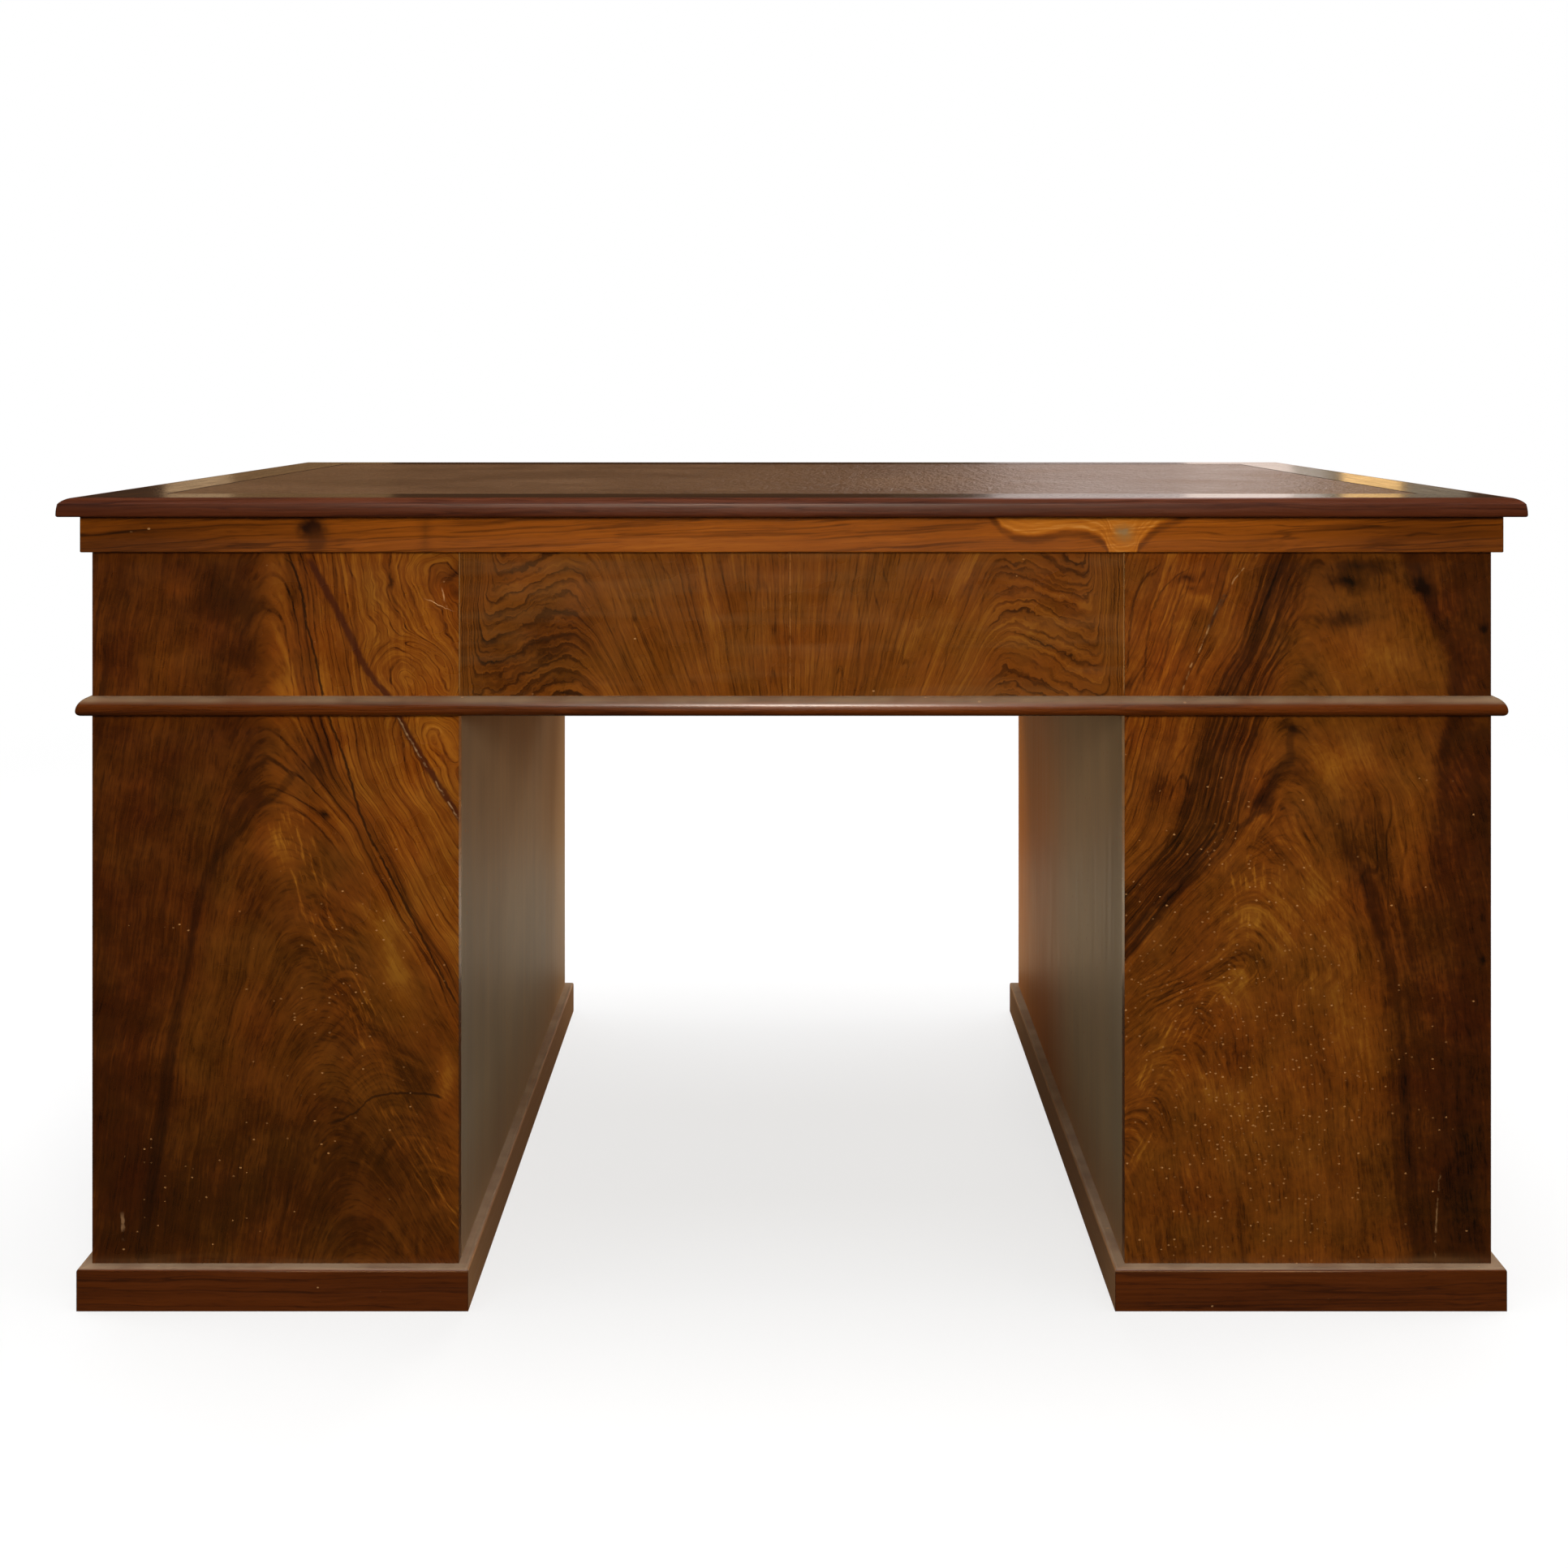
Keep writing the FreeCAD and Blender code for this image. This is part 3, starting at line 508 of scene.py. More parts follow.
def figuredVeneer(name, look, grain, face=-424, mirrored=False):
    made, tree = newMaterial(name)
    place = millimetres(tree, mirrored)
    drift = sway(tree, place, look["swaySpan"], look["swayAmount"], look["seed"])
    drift = sway(tree, drift, veneerScale["ripple"], look["ripple"], look["seed"])
    flow, striped, tone, warmth = grain(tree, drift, look, face)
    flow = addNode(tree, "Math", (flow, look["seed"] * 100), operation="ADD")
    soft = sway(tree, drift, *veneerScale["patchEdge"])
    tone = addPatches(tree, soft, tone, look["patches"], face)
    mottle = {"Vector": drift, "Scale": 1 / veneerScale["mottle"], "Detail": 3.0, "Roughness": 0.65}
    mottle = addNode(tree, "TexNoise", mottle)
    tone = mixIn(tree, tone, mottle, look["mottle"])
    cloud = addNode(tree, "TexNoise", {"Vector": drift, "Scale": 1 / veneerScale["cloud"], "Detail": 2.0})
    tone = mixIn(tree, tone, cloud, look["cloud"])
    for across, along, amount in look["figure"]:
        streaks = alongGrain(tree, flow, place, across, along, Detail=2.0, Roughness=0.6)
        tone = mixIn(tree, tone, streaks, addNode(tree, "Mix", (striped, *amount)))
    # thin dark lines of late wood, sharp as if drawn with a pen
    uneven = alongGrain(tree, flow, place, *veneerScale["lateWood"], Detail=2.0)
    uneven = addNode(tree, "Math", (uneven, 9.0), operation="MULTIPLY")
    thin = addNode(tree, "Math", (flow, 1 / look["lineGap"], uneven), operation="MULTIPLY_ADD")
    thin = addNode(tree, "Math", (thin,), operation="FRACT")
    thin = hump(tree, thin, 0.5, 0.02, 0.1, look["lines"])
    for share in (addNode(tree, "MapRange", (mottle, *veneerFade["lateWood"], 0.4, 1.1)), striped):
        thin = addNode(tree, "Math", (thin, share), operation="MULTIPLY")
    tone = addNode(tree, "Math", (tone, thin), operation="SUBTRACT")
    pores = alongGrain(tree, flow, place, *veneerScale["pore"], Detail=1.0)
    pores = addNode(tree, "MapRange", (pores, *veneerFade["pores"], 0, veneerWear["pores"]))
    tone = addNode(tree, "Math", (tone, pores), operation="SUBTRACT")
    mood = addNode(tree, "TexNoise", {"Vector": drift, "Scale": 1 / veneerScale["mood"], "Detail": 2.0})
    warmth = mixIn(tree, warmth, mood, veneerWear["warmthDrift"])
    warmth = addPatches(tree, drift, warmth, look["warmPatches"], face)
    warmth = addNode(tree, "MapRange", (warmth, 0, 1, 0, 1))
    red = addNode(tree, "ValToRGB", (tone,), ramp=walnutShades["red"])
    golden = addNode(tree, "ValToRGB", (tone,), ramp=walnutShades["golden"])
    colour = addNode(tree, "Mix", (warmth, golden, red), data_type="RGBA")
    for points, wide, broken, shade, strength, *more in look["lineWork"]:
        mask = drawnLine(tree, place, points, wide, broken, *more)
        mask = addNode(tree, "Math", (mask, strength), operation="MULTIPLY")
        colour = addNode(tree, "Mix", (mask, colour, linear(shade)), data_type="RGBA")
    colour = waxReflectionAndChips(tree, place, colour, look, face)
    rough = addNode(tree, "MapRange", (cloud, *noiseSpan, *veneerWear["rough"]))
    finish(tree, colour, rough, pores, veneerWear["relief"])
    return made


# Places are in mm. Flanks and the feather are (z, x) points. stripedSide: 1 is right of the plume, -1 left.
# arch: place, width, strength. figure: across, along, strength in plain and in striped wood.
# knots: x, z, half width, level of the grain, lean. bands: from, to, strength, combing.
# lineWork: points, width, how broken, colour, strength, and perhaps its softness and whether it lies.
leftVeneer = {
    "seed": 3.1, "swaySpan": 85, "swayAmount": 12, "ripple": 2.4, "stripedSide": 1,
    "leftFlank": [(719, -521), (566, -543), (488, -555), (388, -570), (320, -579), (242, -595), (140, -609),
                  (41, -622)],
    "rightFlank": [(719, -488), (660, -483), (602, -478), (555, -470), (505, -455), (473, -434), (417, -403),
                   (376, -381), (336, -356), (289, -329), (164, -262), (41, -200)],
    "rightPace": 1.0, "crownWidth": 222, "crownDip": (400, 490, 0, -18),
    "knots": [(-326, 692, 130, 158, 0.4), (-366, 600, 58, 112, 0.5), (-342, 548, 46, 134, 0.5)],
    "arch": (2, 7, 0.05), "bands": [(0, 22, 0.14, 0.3), (22, 130, 0.0, 0.36)],
    "plainTone": 0.3, "stripedTone": 0.54, "plumeTone": 0.35,
    "calm": [(-600, 680, 120, 120, 0, 1), (-330, 692, 30, 26, 0, 1.4)], "lively": [],
    "feather": {
        "line": [(719, -528), (560, -502), (469, -483), (400, -462), (343, -440), (273, -410), (183, -376),
                 (117, -335), (41, -270)],
        "fall": 1.0, "soft": 24, "reach": 110, "depth": 0.5, "flecks": 0.34, "fleckReach": 34,
    },
    "cloud": 0.26, "lines": 0.24, "lineGap": 7, "mottle": 0.14,
    "figure": [(13, 300, (0.14, 0.36)), (5, 160, (0.16, 0.4)), (1.9, 80, (0.22, 0.34))],
    # the plain wood's low tone and the darker clouds low down and at the far left are partly the wood's own
    # and partly painted shade, where the light falls off
    "patches": [(-493, 440, 44, 56, -20, 0.26), (-384, 330, 40, 150, -18, 0.32), (-334, 222, 18, 60, 0, 0.3),
                (-366, 222, 24, 70, -28, -0.14), (-398, 366, 30, 50, -20, 0.1), (-320, 150, 40, 80, 0, 0.12),
                (-534, 680, 90, 44, 10, -0.15), (-512, 622, 70, 50, -20, -0.14),
                (-464, 520, 44, 60, 14, -0.28), (-520, 560, 90, 40, 0, -0.08), (-535, 612, 30, 16, 0, 0.12),
                (-540, 110, 200, 160, 0, -0.12), (-670, 220, 100, 420, 0, -0.12),
                (-600, 90, 90, 160, 0, -0.1), (-340, 560, 60, 140, 0, 0.12),
                (-590, 690, 44, 22, 0, 0.12), (-430, 120, 150, 150, 0, -0.08),
                (-326, 704, 34, 14, -24, -0.3), (-322, 686, 20, 12, 20, -0.2), (-366, 640, 60, 60, 0, 0.08),
                (-604, 610, 50, 100, 0, 0.12)],
    "warmPatches": [(-340, 560, 120, 200, 0, 0.3), (-640, 300, 60, 400, 0, 0.3), (-337, 218, 40, 80, 0, 0.4),
                    (-384, 330, 50, 150, -15, -0.5), (-334, 690, 40, 30, 0, 0.6)],
    "lineWork": [([(520, -478), (497, -492), (487, -505), (457, -532), (422, -560), (383, -574), (324, -586),
                   (257, -597), (199, -605), (136, -614), (62, -626)], 7.5, 0.0, "#221004", 0.42, 16),
                 ([(-446, 175), (-419, 187), (-395, 203), (-368, 205), (-333, 197)], 1.8, 0.3, "#2b1606", 0.8,
                  7, True),
                 ([(482, -455), (474, -450), (466, -446)], 6, 0.0, "#0d0502", 0.9),
                 ([(724, -467), (664, -435), (609, -407), (586, -388), (555, -372), (516, -349), (484, -329),
                   (457, -313)], 5.6, 0.06, "#451f0e", 0.9),
                 ([(586, -389), (555, -373), (516, -350), (484, -330), (457, -314)], 1.4, 0.5, "#9a7a58", 1),
                 ([(724, -493), (676, -470), (658, -468), (642, -463), (589, -452), (570, -447), (530, -432),
                   (472, -415), (417, -388), (343, -350), (289, -322)], 1.9, 0.3, "#2a1505", 0.9),
                 ([(684, -356), (676, -342), (668, -322)], 1.5, 0.35, "#c79c70", 1),
                 ([(694, -338), (672, -332)], 1.2, 0.4, "#b98a5c", 1),
                 ([(92, -645), (62, -644)], 2.2, 0.45, "#8a6a4c", 1)],
    # the wax strips along the bottom and the top are painted reflection
    "waxAndReflectionAmount": 0.0, "waxAndReflectionClouds": [(-560, 42, 170, 12, 0, 0.9), (-500, 730, 300, 20, 0, 0.2)],
    "chips": [(-560, 130, 120, 140, 0, 0.3), (-420, 300, 160, 260, 0, 0.36), (-588, 364, 26, 10, 0, 1.6),
              (-640, 366, 16, 5, 0, 1.2)],
}
rightVeneer = {
    "seed": 7.7, "swaySpan": 85, "swayAmount": 12, "ripple": 2.8, "stripedSide": -1,
    "leftFlank": [(717, 512), (641, 487), (598, 466), (537, 446), (481, 432), (458, 424), (420, 393),
                  (380, 358), (336, 323), (257, 252), (164, 166), (41, 50)],
    "rightFlank": [(719, 468), (650, 480), (594, 494), (540, 512), (510, 525), (483, 539), (445, 547),
                   (383, 561), (281, 579), (164, 590), (41, 600)],
    "rightPace": 0.55, "crownWidth": 98, "crownDip": (400, 480, 0, -14),
    "knots": [], "arch": (2, 6, 0.12), "bands": [(-4, 62, 0.2, 0.6), (62, 150, 0.0, 0.3)],
    "secondPlume": {
        "line": [(780, 574), (725, 590), (697, 601), (679, 611), (660, 621), (636, 630), (613, 638),
                 (593, 638), (560, 630), (500, 622), (420, 625), (300, 632)],
        "fade": (380, 560), "lift": 0.14, "gold": 0.45, "rim": 0.1,
    },
    "plainTone": 0.27, "stripedTone": 0.48, "plumeTone": 0.42,
    "calm": [(640, 300, 60, 500, 0, 0.6)],
    "lively": [(575, 440, 70, 150, 0, 1.6), (545, 200, 60, 200, 0, 0.7)],
    "feather": {
        "line": [(719, 540), (553, 489), (483, 461), (438, 442), (370, 442), (325, 430), (304, 403),
                 (277, 382), (225, 355), (174, 328), (41, 250)],
        "fall": 1.2, "soft": 16, "reach": 190, "depth": 0.7, "flecks": 0.3, "fleckReach": 50,
    },
    "cloud": 0.26, "lines": 0.16, "lineGap": 9, "mottle": 0.26,
    "figure": [(11, 300, (0.16, 0.34)), (5, 160, (0.16, 0.34)), (1.9, 80, (0.22, 0.34))],
    # the plain wood's low tone and the darker clouds at the far right and low down are partly the wood's own
    # and partly painted shade, where the light falls off
    "patches": [(350, 500, 60, 50, 20, -0.12), (420, 190, 150, 170, 0, 0.08), (446, 374, 50, 40, 0, 0.22),
                (430, 318, 44, 44, 0, 0.14), (560, 250, 40, 220, 4, 0.14), (508, 398, 60, 100, 0, 0.16),
                (530, 281, 50, 160, 0, 0.14), (592, 430, 36, 150, 6, 0.2), (560, 620, 90, 60, 0, 0.16),
                (520, 520, 70, 60, 0, 0.3), (481, 559, 28, 14, 20, -0.36), (452, 486, 30, 22, 20, -0.3),
                (548, 714, 66, 18, 0, -0.34), (537, 697, 36, 16, 8, -0.44), (534, 662, 54, 20, -6, -0.3),
                (500, 610, 20, 20, 0, -0.2), (604, 694, 36, 12, 30, -0.3), (381, 701, 18, 8, 0, -0.34),
                (388, 690, 12, 7, 0, -0.3), (398, 682, 26, 16, 30, 0.24), (667, 653, 9, 9, 0, -0.4),
                (665, 334, 8, 8, 0, -0.4), (645, 130, 60, 300, 0, -0.18), (664, 480, 50, 340, 0, -0.1),
                (400, 60, 200, 150, 0, -0.05), (560, 120, 80, 160, 0, -0.05), (430, 240, 60, 50, 0, -0.08),
                (380, 180, 60, 40, 0, -0.06)],
    "warmPatches": [(360, 640, 120, 160, 0, 0.5), (650, 300, 60, 400, 0, 0.3), (430, 240, 70, 60, 0, 0.4),
                    (400, 660, 40, 60, 0, -0.5)],
    "lineWork": [([(727, 452), (693, 422), (667, 407), (638, 396), (612, 383), (591, 377)], 1.1, 0.5,
                  "#a0784c", 0.9),
                 ([(693, 423), (667, 408), (650, 401)], 3.4, 0.4, "#3a2418", 0.7),
                 ([(719, 362), (701, 341), (682, 331), (649, 326), (609, 323)], 1.6, 0.34, "#331605", 0.6),
                 ([(715, 396), (698, 365), (680, 352), (649, 344), (596, 339)], 1.6, 0.36, "#331605", 0.6),
                 ([(690, 381), (669, 370), (628, 360), (596, 352)], 1.6, 0.36, "#331605", 0.5),
                 ([(566, 494), (545, 481), (530, 479), (505, 463), (483, 459), (472, 444), (455, 424)], 7,
                  0.2, "#201006", 0.5, 22),
                 ([(462, 424), (455, 410), (413, 377), (371, 338), (340, 312)], 4, 0.16, "#1c0e06", 0.5, 9),
                 ([(130, 626), (90, 622), (44, 620)], 1.2, 0.55, "#8a6a48", 0.8)],
    # the wax strip along the bottom is painted reflection
    "waxAndReflectionAmount": 0.0, "waxAndReflectionClouds": [(600, 44, 200, 10, 0, 0.5)],
    "chips": [(430, 200, 260, 380, 0, 1.1), (325, 315, 40, 60, 0, 1.6), (440, 440, 90, 60, 0, 0.4),
              (614, 508, 34, 5, 0, 2.0)],
}
centreVeneer = {
    "seed": 5.2, "swaySpan": 60, "swayAmount": 5, "ripple": 1.5, "joint": -1.5,
    "fanFoot": 290, "fanReach": 298, "crown": 195, "shoulder": 0.45, "crownFoot": 588, "pace": 0.41,
    "crownWidth": 30, "edge": 318, "edgePace": 2.2, "edgeWidth": 26, "archFade": (-25, 10),
    "rings": [(5.0, 0.0, 0.22), (8.7, 0.4, 0.14)],  # mm apart, start, strength
    "ringWave": (1.5, 16.0), "striped": (0.9, 0.35),  # in the fan, and in the arches
    "fanTone": 0.47, "archTone": 0.48, "warmth": 0.16,
    "cloud": 0.24, "lines": 0.14, "lineGap": 9, "mottle": 0.1,
    "figure": [(11, 300, (0.1, 0.26)), (4, 200, (0.2, 0.3)), (1.6, 120, (0.24, 0.4))],
    "patches": [(-240, 640, 160, 90, 0, -0.12), (-240, 740, 160, 40, 0, 0.06), (230, 650, 140, 90, 0, 0.08)],
    "warmPatches": [(0, 640, 120, 90, 0, 0.2)],
    "lineWork": [([(588, -1.5), (762, -1.4)], 0.7, 0.42, "#a06a30", 0.8, 1),
                 ([(588, -320.6), (762, -320.5)], 0.8, 0.3, "#9a7448", 1, 1),
                 ([(588, 320.5), (762, 320.6)], 0.8, 0.3, "#9a7448", 1, 1)],
    # thin old wax over all, and a band of painted reflection along the top
    "waxAndReflectionAmount": 0.16, "waxAndReflectionClouds": [(0, 740, 500, 30, 0, 0.3)], "chips": [],
}
print("veneers drawn")


# Solid walnut in long mitred boards, moulded with a plane along the grain and polished. The eye gets streaks
# that run along each board and turn at the mitres, and grey dust and old wax on every ledge that faces up.
boardWear = {"gap": "#120804", "chip": "#b48c60", "chipMm": 6, "pores": 0.08, "relief": (0.12, 1.0)}
sapLook = {"lift": 0.28, "layers": 0.5, "edge": 0.16}  # how pale it is, its layers, its dark edge
boardScale = {  # mm; two numbers are across and along the grain
    "wobble": 120, "dust": 35,
    "broad": (14, 320), "fine": (2.4, 90), "line": (10, 700), "sapLayer": (3.6, 90),
    "pore": (0.9, 16),  # real pores are 0.2 mm wide: drawn four times as wide, so that they show
    "knotEdge": (7, 9), "sapEdge": (16, 5),  # span and amount of a bend
}
dustFade = {"facing": (0.5, 0.95), "patch": (0.35, 0.6), "scuff": (-150, -300)}  # shares, shares, mm
polishedShades = [(0.0, "#170702"), (0.3, "#3a1906"), (0.6, "#632f08"), (1.0, "#8e5418")]
# the moulded edge's shades: the wood's own red-brown, lifted in part as a painted highlight
rimShadesWithHighlight = [(0.0, "#150804"), (0.3, "#331409"), (0.6, "#552812"), (1.0, "#7c4726")]
borderShades = [(0.0, "#120804"), (0.3, "#281408"), (0.6, "#40250f"), (1.0, "#67441c")]
bandShades = [(0.0, "#2a1304"), (0.25, "#643305"), (0.5, "#94500b"), (0.75, "#b66e18"), (1.0, "#dca458")]


def mitred(tree, place, centre, halves):  # along the board, across it, height, and the gap of the mitre
    parts = addNode(tree, "SeparateXYZ", (place,))
    x, y = parts, parts.node.outputs["Y"]
    aside = addNode(tree, "Math", (x,), operation="ABSOLUTE")
    aside = addNode(tree, "Math", (aside, centre), operation="SUBTRACT")
    aside = addNode(tree, "Math", (aside,), operation="ABSOLUTE")
    deep = addNode(tree, "Math", (y,), operation="ABSOLUTE")
    toEnd = addNode(tree, "Math", (aside, halves[0]), operation="SUBTRACT")
    toFront = addNode(tree, "Math", (deep, halves[1]), operation="SUBTRACT")
    lead = addNode(tree, "Math", (toEnd, toFront), operation="SUBTRACT")
    endBoard = addNode(tree, "Math", (lead, 0.0), operation="GREATER_THAN")
    along = addNode(tree, "Mix", (endBoard, x, y))
    across = addNode(tree, "Mix", (endBoard, y, x))
    return along, across, parts.node.outputs["Z"], hump(tree, lead, 0.0, 0.15, 0.6)


def addSapwood(tree, place, tone, look):  # pale wood above a line of (x, z) points, with a dark edge
    bent = addNode(tree, "SeparateXYZ", (sway(tree, place, *boardScale["sapEdge"], 2.2),))
    over = lineAt(tree, bent, look["sapwood"], -700, 700)
    over = addNode(tree, "Math", (bent.node.outputs["Z"], over), operation="SUBTRACT")
    onFace = addNode(tree, "MapRange", (bent.node.outputs["Y"], look["face"] + 8, look["face"] + 3, 0, 1))
    sap = addNode(tree, "MapRange", (over, -1, 5, 0, 1), interpolation_type="SMOOTHSTEP")
    thick, reach = boardScale["sapLayer"]
    layers = (addNode(tree, "Math", (over, 1 / thick), operation="MULTIPLY"),
              addNode(tree, "Math", (bent, 1 / reach), operation="MULTIPLY"))
    layers = addNode(tree, "CombineXYZ", layers)
    layers = addNode(tree, "TexNoise", {"Vector": layers, "Scale": 1.0, "Detail": 3.0})
    lift = mixIn(tree, sapLook["lift"], layers, sapLook["layers"])
    lift = addNode(tree, "Math", (lift, sap), operation="MULTIPLY")
    lift = addNode(tree, "Math", (lift, hump(tree, over, -2, 1, 6, sapLook["edge"])), operation="SUBTRACT")
    return addNode(tree, "Math", (lift, onFace, tone), operation="MULTIPLY_ADD")


def rimShare(tree, place, look):  # 1 on the moulded edge
    sides = addNode(tree, "SeparateXYZ", (addNode(tree, "VectorMath", (place,), operation="ABSOLUTE"),))
    outer = addNode(tree, "Math", (sides, look["halves"][0]), operation="SUBTRACT")
    front = addNode(tree, "Math", (sides.node.outputs["Y"], look["halves"][1]), operation="SUBTRACT")
    outer = addNode(tree, "Math", (outer, front), operation="MAXIMUM")
    return addNode(tree, "MapRange", (outer, -look["rim"] - 2, -look["rim"] + 2, 0, 1))


def layDust(tree, place, colour, look):  # on what faces up; gives the colour, and the roughness it adds
    facing = addNode(tree, "SeparateXYZ", (addNode(tree, "NewGeometry").node.outputs["Normal"],))
    up = addNode(tree, "MapRange", (facing.node.outputs["Z"], *dustFade["facing"], 0, look["dust"]),
                 interpolation_type="SMOOTHSTEP")
    patchy = addNode(tree, "TexNoise", {"Vector": place, "Scale": 1 / boardScale["dust"], "Detail": 4.0})
    patchy = addNode(tree, "MapRange", (patchy, *dustFade["patch"], 0.6, 1.0))
    up = addNode(tree, "Math", (up, patchy), operation="MULTIPLY")
    colour = addNode(tree, "Mix", (up, colour, linear(look["dustColour"])), data_type="RGBA")
    if "scuffs" in look:  # where feet in the kneehole have rubbed the polish off
        amount, shade = look["scuffs"]
        inward = addNode(tree, "Math", (facing, addNode(tree, "SeparateXYZ", (place,))), operation="MULTIPLY")
        inward = addNode(tree, "MapRange", (inward, *dustFade["scuff"], 0, amount))
        colour = addNode(tree, "Mix", (inward, colour, linear(shade)), data_type="RGBA")
    return colour, addNode(tree, "MapRange", (up, 0, 0.5, 0, 0.5))


def longGrain(name, look):
    made, tree = newMaterial(name)
    place = millimetres(tree)
    soft = sway(tree, place, boardScale["wobble"], look["sway"], look["seed"])
    along, across, height = mitred(tree, soft, look["centre"], look["halves"])[:3]
    gap = mitred(tree, place, look["centre"], look["halves"])[3]  # the mitre itself is straight
    height = addNode(tree, "Math", (along, look["rise"], height), operation="MULTIPLY_ADD")

    def streak(thick, reach, **noise):
        vector = addNode(tree, "CombineXYZ", (
            addNode(tree, "Math", (along, 1 / reach), operation="MULTIPLY"),
            addNode(tree, "Math", (across, 1 / thick), operation="MULTIPLY"),
            addNode(tree, "Math", (height, 1 / thick), operation="MULTIPLY")))
        return addNode(tree, "TexNoise", {"Vector": vector, "Scale": 1.0, **noise})

    tone = addPatches(tree, soft, look["tone"], look["patches"], look["face"])
    if "sapwood" in look:
        tone = addSapwood(tree, place, tone, look)
    tone = mixIn(tree, tone, streak(*boardScale["broad"], Detail=3.0), look["broad"])
    fine = streak(*boardScale["fine"], Detail=3.0)
    tone = mixIn(tree, tone, fine, look["fine"])
    thin = hump(tree, streak(*boardScale["line"], Detail=2.0), 0.5, 0.005, 0.03, look["lines"])
    tone = addNode(tree, "Math", (tone, thin), operation="SUBTRACT")
    pores = streak(*boardScale["pore"], Detail=1.0)
    pores = addNode(tree, "MapRange", (pores, *poreSpan, 0, boardWear["pores"]))
    tone = addNode(tree, "Math", (tone, pores), operation="SUBTRACT")
    colour = addNode(tree, "ValToRGB", (tone,), ramp=look["shades"])
    rough = addNode(tree, "MapRange", (fine, *noiseSpan, *look["rough"]))
    if "rim" in look:  # the moulded edge has a duller polish than the flat, and redder shades that are lifted in part as a painted highlight
        rim = rimShare(tree, place, look)
        rimTint = addNode(tree, "ValToRGB", (tone,), ramp=rimShadesWithHighlight)
        colour = addNode(tree, "Mix", (rim, colour, rimTint), data_type="RGBA")
        rough = addNode(tree, "Math", (rim, look["rimRough"], rough), operation="MULTIPLY_ADD")
    for spot, shade, amount in look.get("knots", ()):  # x, z, half width, half height, turn, strength
        core = addPatches(tree, sway(tree, place, *boardScale["knotEdge"]), 0.0, [spot], look["face"])
        core = addNode(tree, "MapRange", (core, 0.0, 0.6, 0, amount), interpolation_type="SMOOTHSTEP")
        colour = addNode(tree, "Mix", (core, colour, linear(shade)), data_type="RGBA")
    colour = addNode(tree, "Mix", (gap, colour, linear(boardWear["gap"])), data_type="RGBA")
    if "dust" in look:
        colour, dusty = layDust(tree, place, colour, look)
        rough = addNode(tree, "Math", (rough, dusty), operation="ADD")
    share = addPatches(tree, place, look["chipShare"], look["chips"], look["face"])
    chipped = chips(tree, place, boardWear["chipMm"], share)
    colour = addNode(tree, "Mix", (chipped, colour, linear(boardWear["chip"])), data_type="RGBA")
    finish(tree, colour, rough, tone, boardWear["relief"])
    return made


topBorder = {
    "halves": placeOf("top_border")[1][:2], "centre": 0, "face": 0,  # mm: half width and depth, middle, front
    "rim": 14, "rimRough": 0.14, "seed": 1.3, "sway": 10, "rise": 0,
    "tone": 0.5, "broad": 0.4, "fine": 0.25, "lines": 0.12, "shades": borderShades, "rough": (0.16, 0.24),
    "patches": [], "chips": [], "chipShare": 0.004,
}
waistMoulding = {
    "halves": placeOf("waist_moulding")[1][:2], "centre": 0, "face": 0, "seed": 2.3, "sway": 8, "rise": 0,
    "tone": 0.52, "broad": 0.4, "fine": 0.25, "lines": 0.1, "shades": polishedShades, "rough": (0.24, 0.34),
    "dust": 0.48, "dustColour": "#978464", "patches": [], "chips": [], "chipShare": 0.03,
}
plinthMiddle, plinthHalf = placeOf("right_plinth")
plinthBoards = dict(waistMoulding, seed=4.1, centre=plinthMiddle[0], halves=plinthHalf[:2],
                    rough=(0.34, 0.46), tone=0.47, chipShare=0.04, dust=0.62, dustColour="#a08d74",
                    scuffs=(0.8, "#c49468"))
bandBoards = {
    "halves": placeOf("under_top_band")[1][:2], "centre": 0, "face": -433, "seed": 6.4, "sway": 10,
    "rise": -0.05,
    "tone": 0.47, "broad": 0.4, "fine": 0.34, "lines": 0.14, "shades": bandShades, "rough": (0.34, 0.44),
    "chips": [(-620, 752, 70, 8, 0, 0.5)], "chipShare": 0.006,
    "knots": [((-461, 750, 26, 20, 0, 1), "#1f0d06", 1.0), ((-456, 738, 22, 30, 0, 1), "#4a2509", 0.7),
              ((319, 745, 19, 17, 0, 1), "#94703f", 0.7), ((319, 747, 9, 8, 0, 1), "#8a7a5c", 0.6)],
    "patches": [(-620, 745, 340, 120, 0, -0.24), (-640, 728, 200, 24, 0, -0.14),
                (-350, 745, 12, 60, 0, -0.14), (640, 740, 300, 120, 0, -0.26), (560, 738, 60, 30, 0, -0.1)],
    "sapwood": [(-700, 790), (150, 785), (192, 761), (208, 747), (233, 742), (265, 747), (292, 742),
                (304, 730), (312, 715), (324, 715), (331, 730), (341, 742), (356, 754), (375, 761),
                (420, 785), (700, 790)],
}


# Solid walnut, oiled or polished, and planed pine and oak, with the grain running one way. The eye gets long
# streaks and short pores: red-brown walnut, grey where its polish has perished, and yellow pine and oak.
plankScale = {
    "wobble": 160, "broad": 1500, "fine": 260, "stain": 110,  # mm along the grain
    "pore": (1.0, 22),  # mm; real pores are 0.3 mm wide or less: drawn coarser, so that they show
}
plankRelief = (0.15, 1.0)
lippingShades = [(0.0, "#1a0802"), (0.4, "#43200a"), (0.8, "#643210"), (1.0, "#7a431a")]


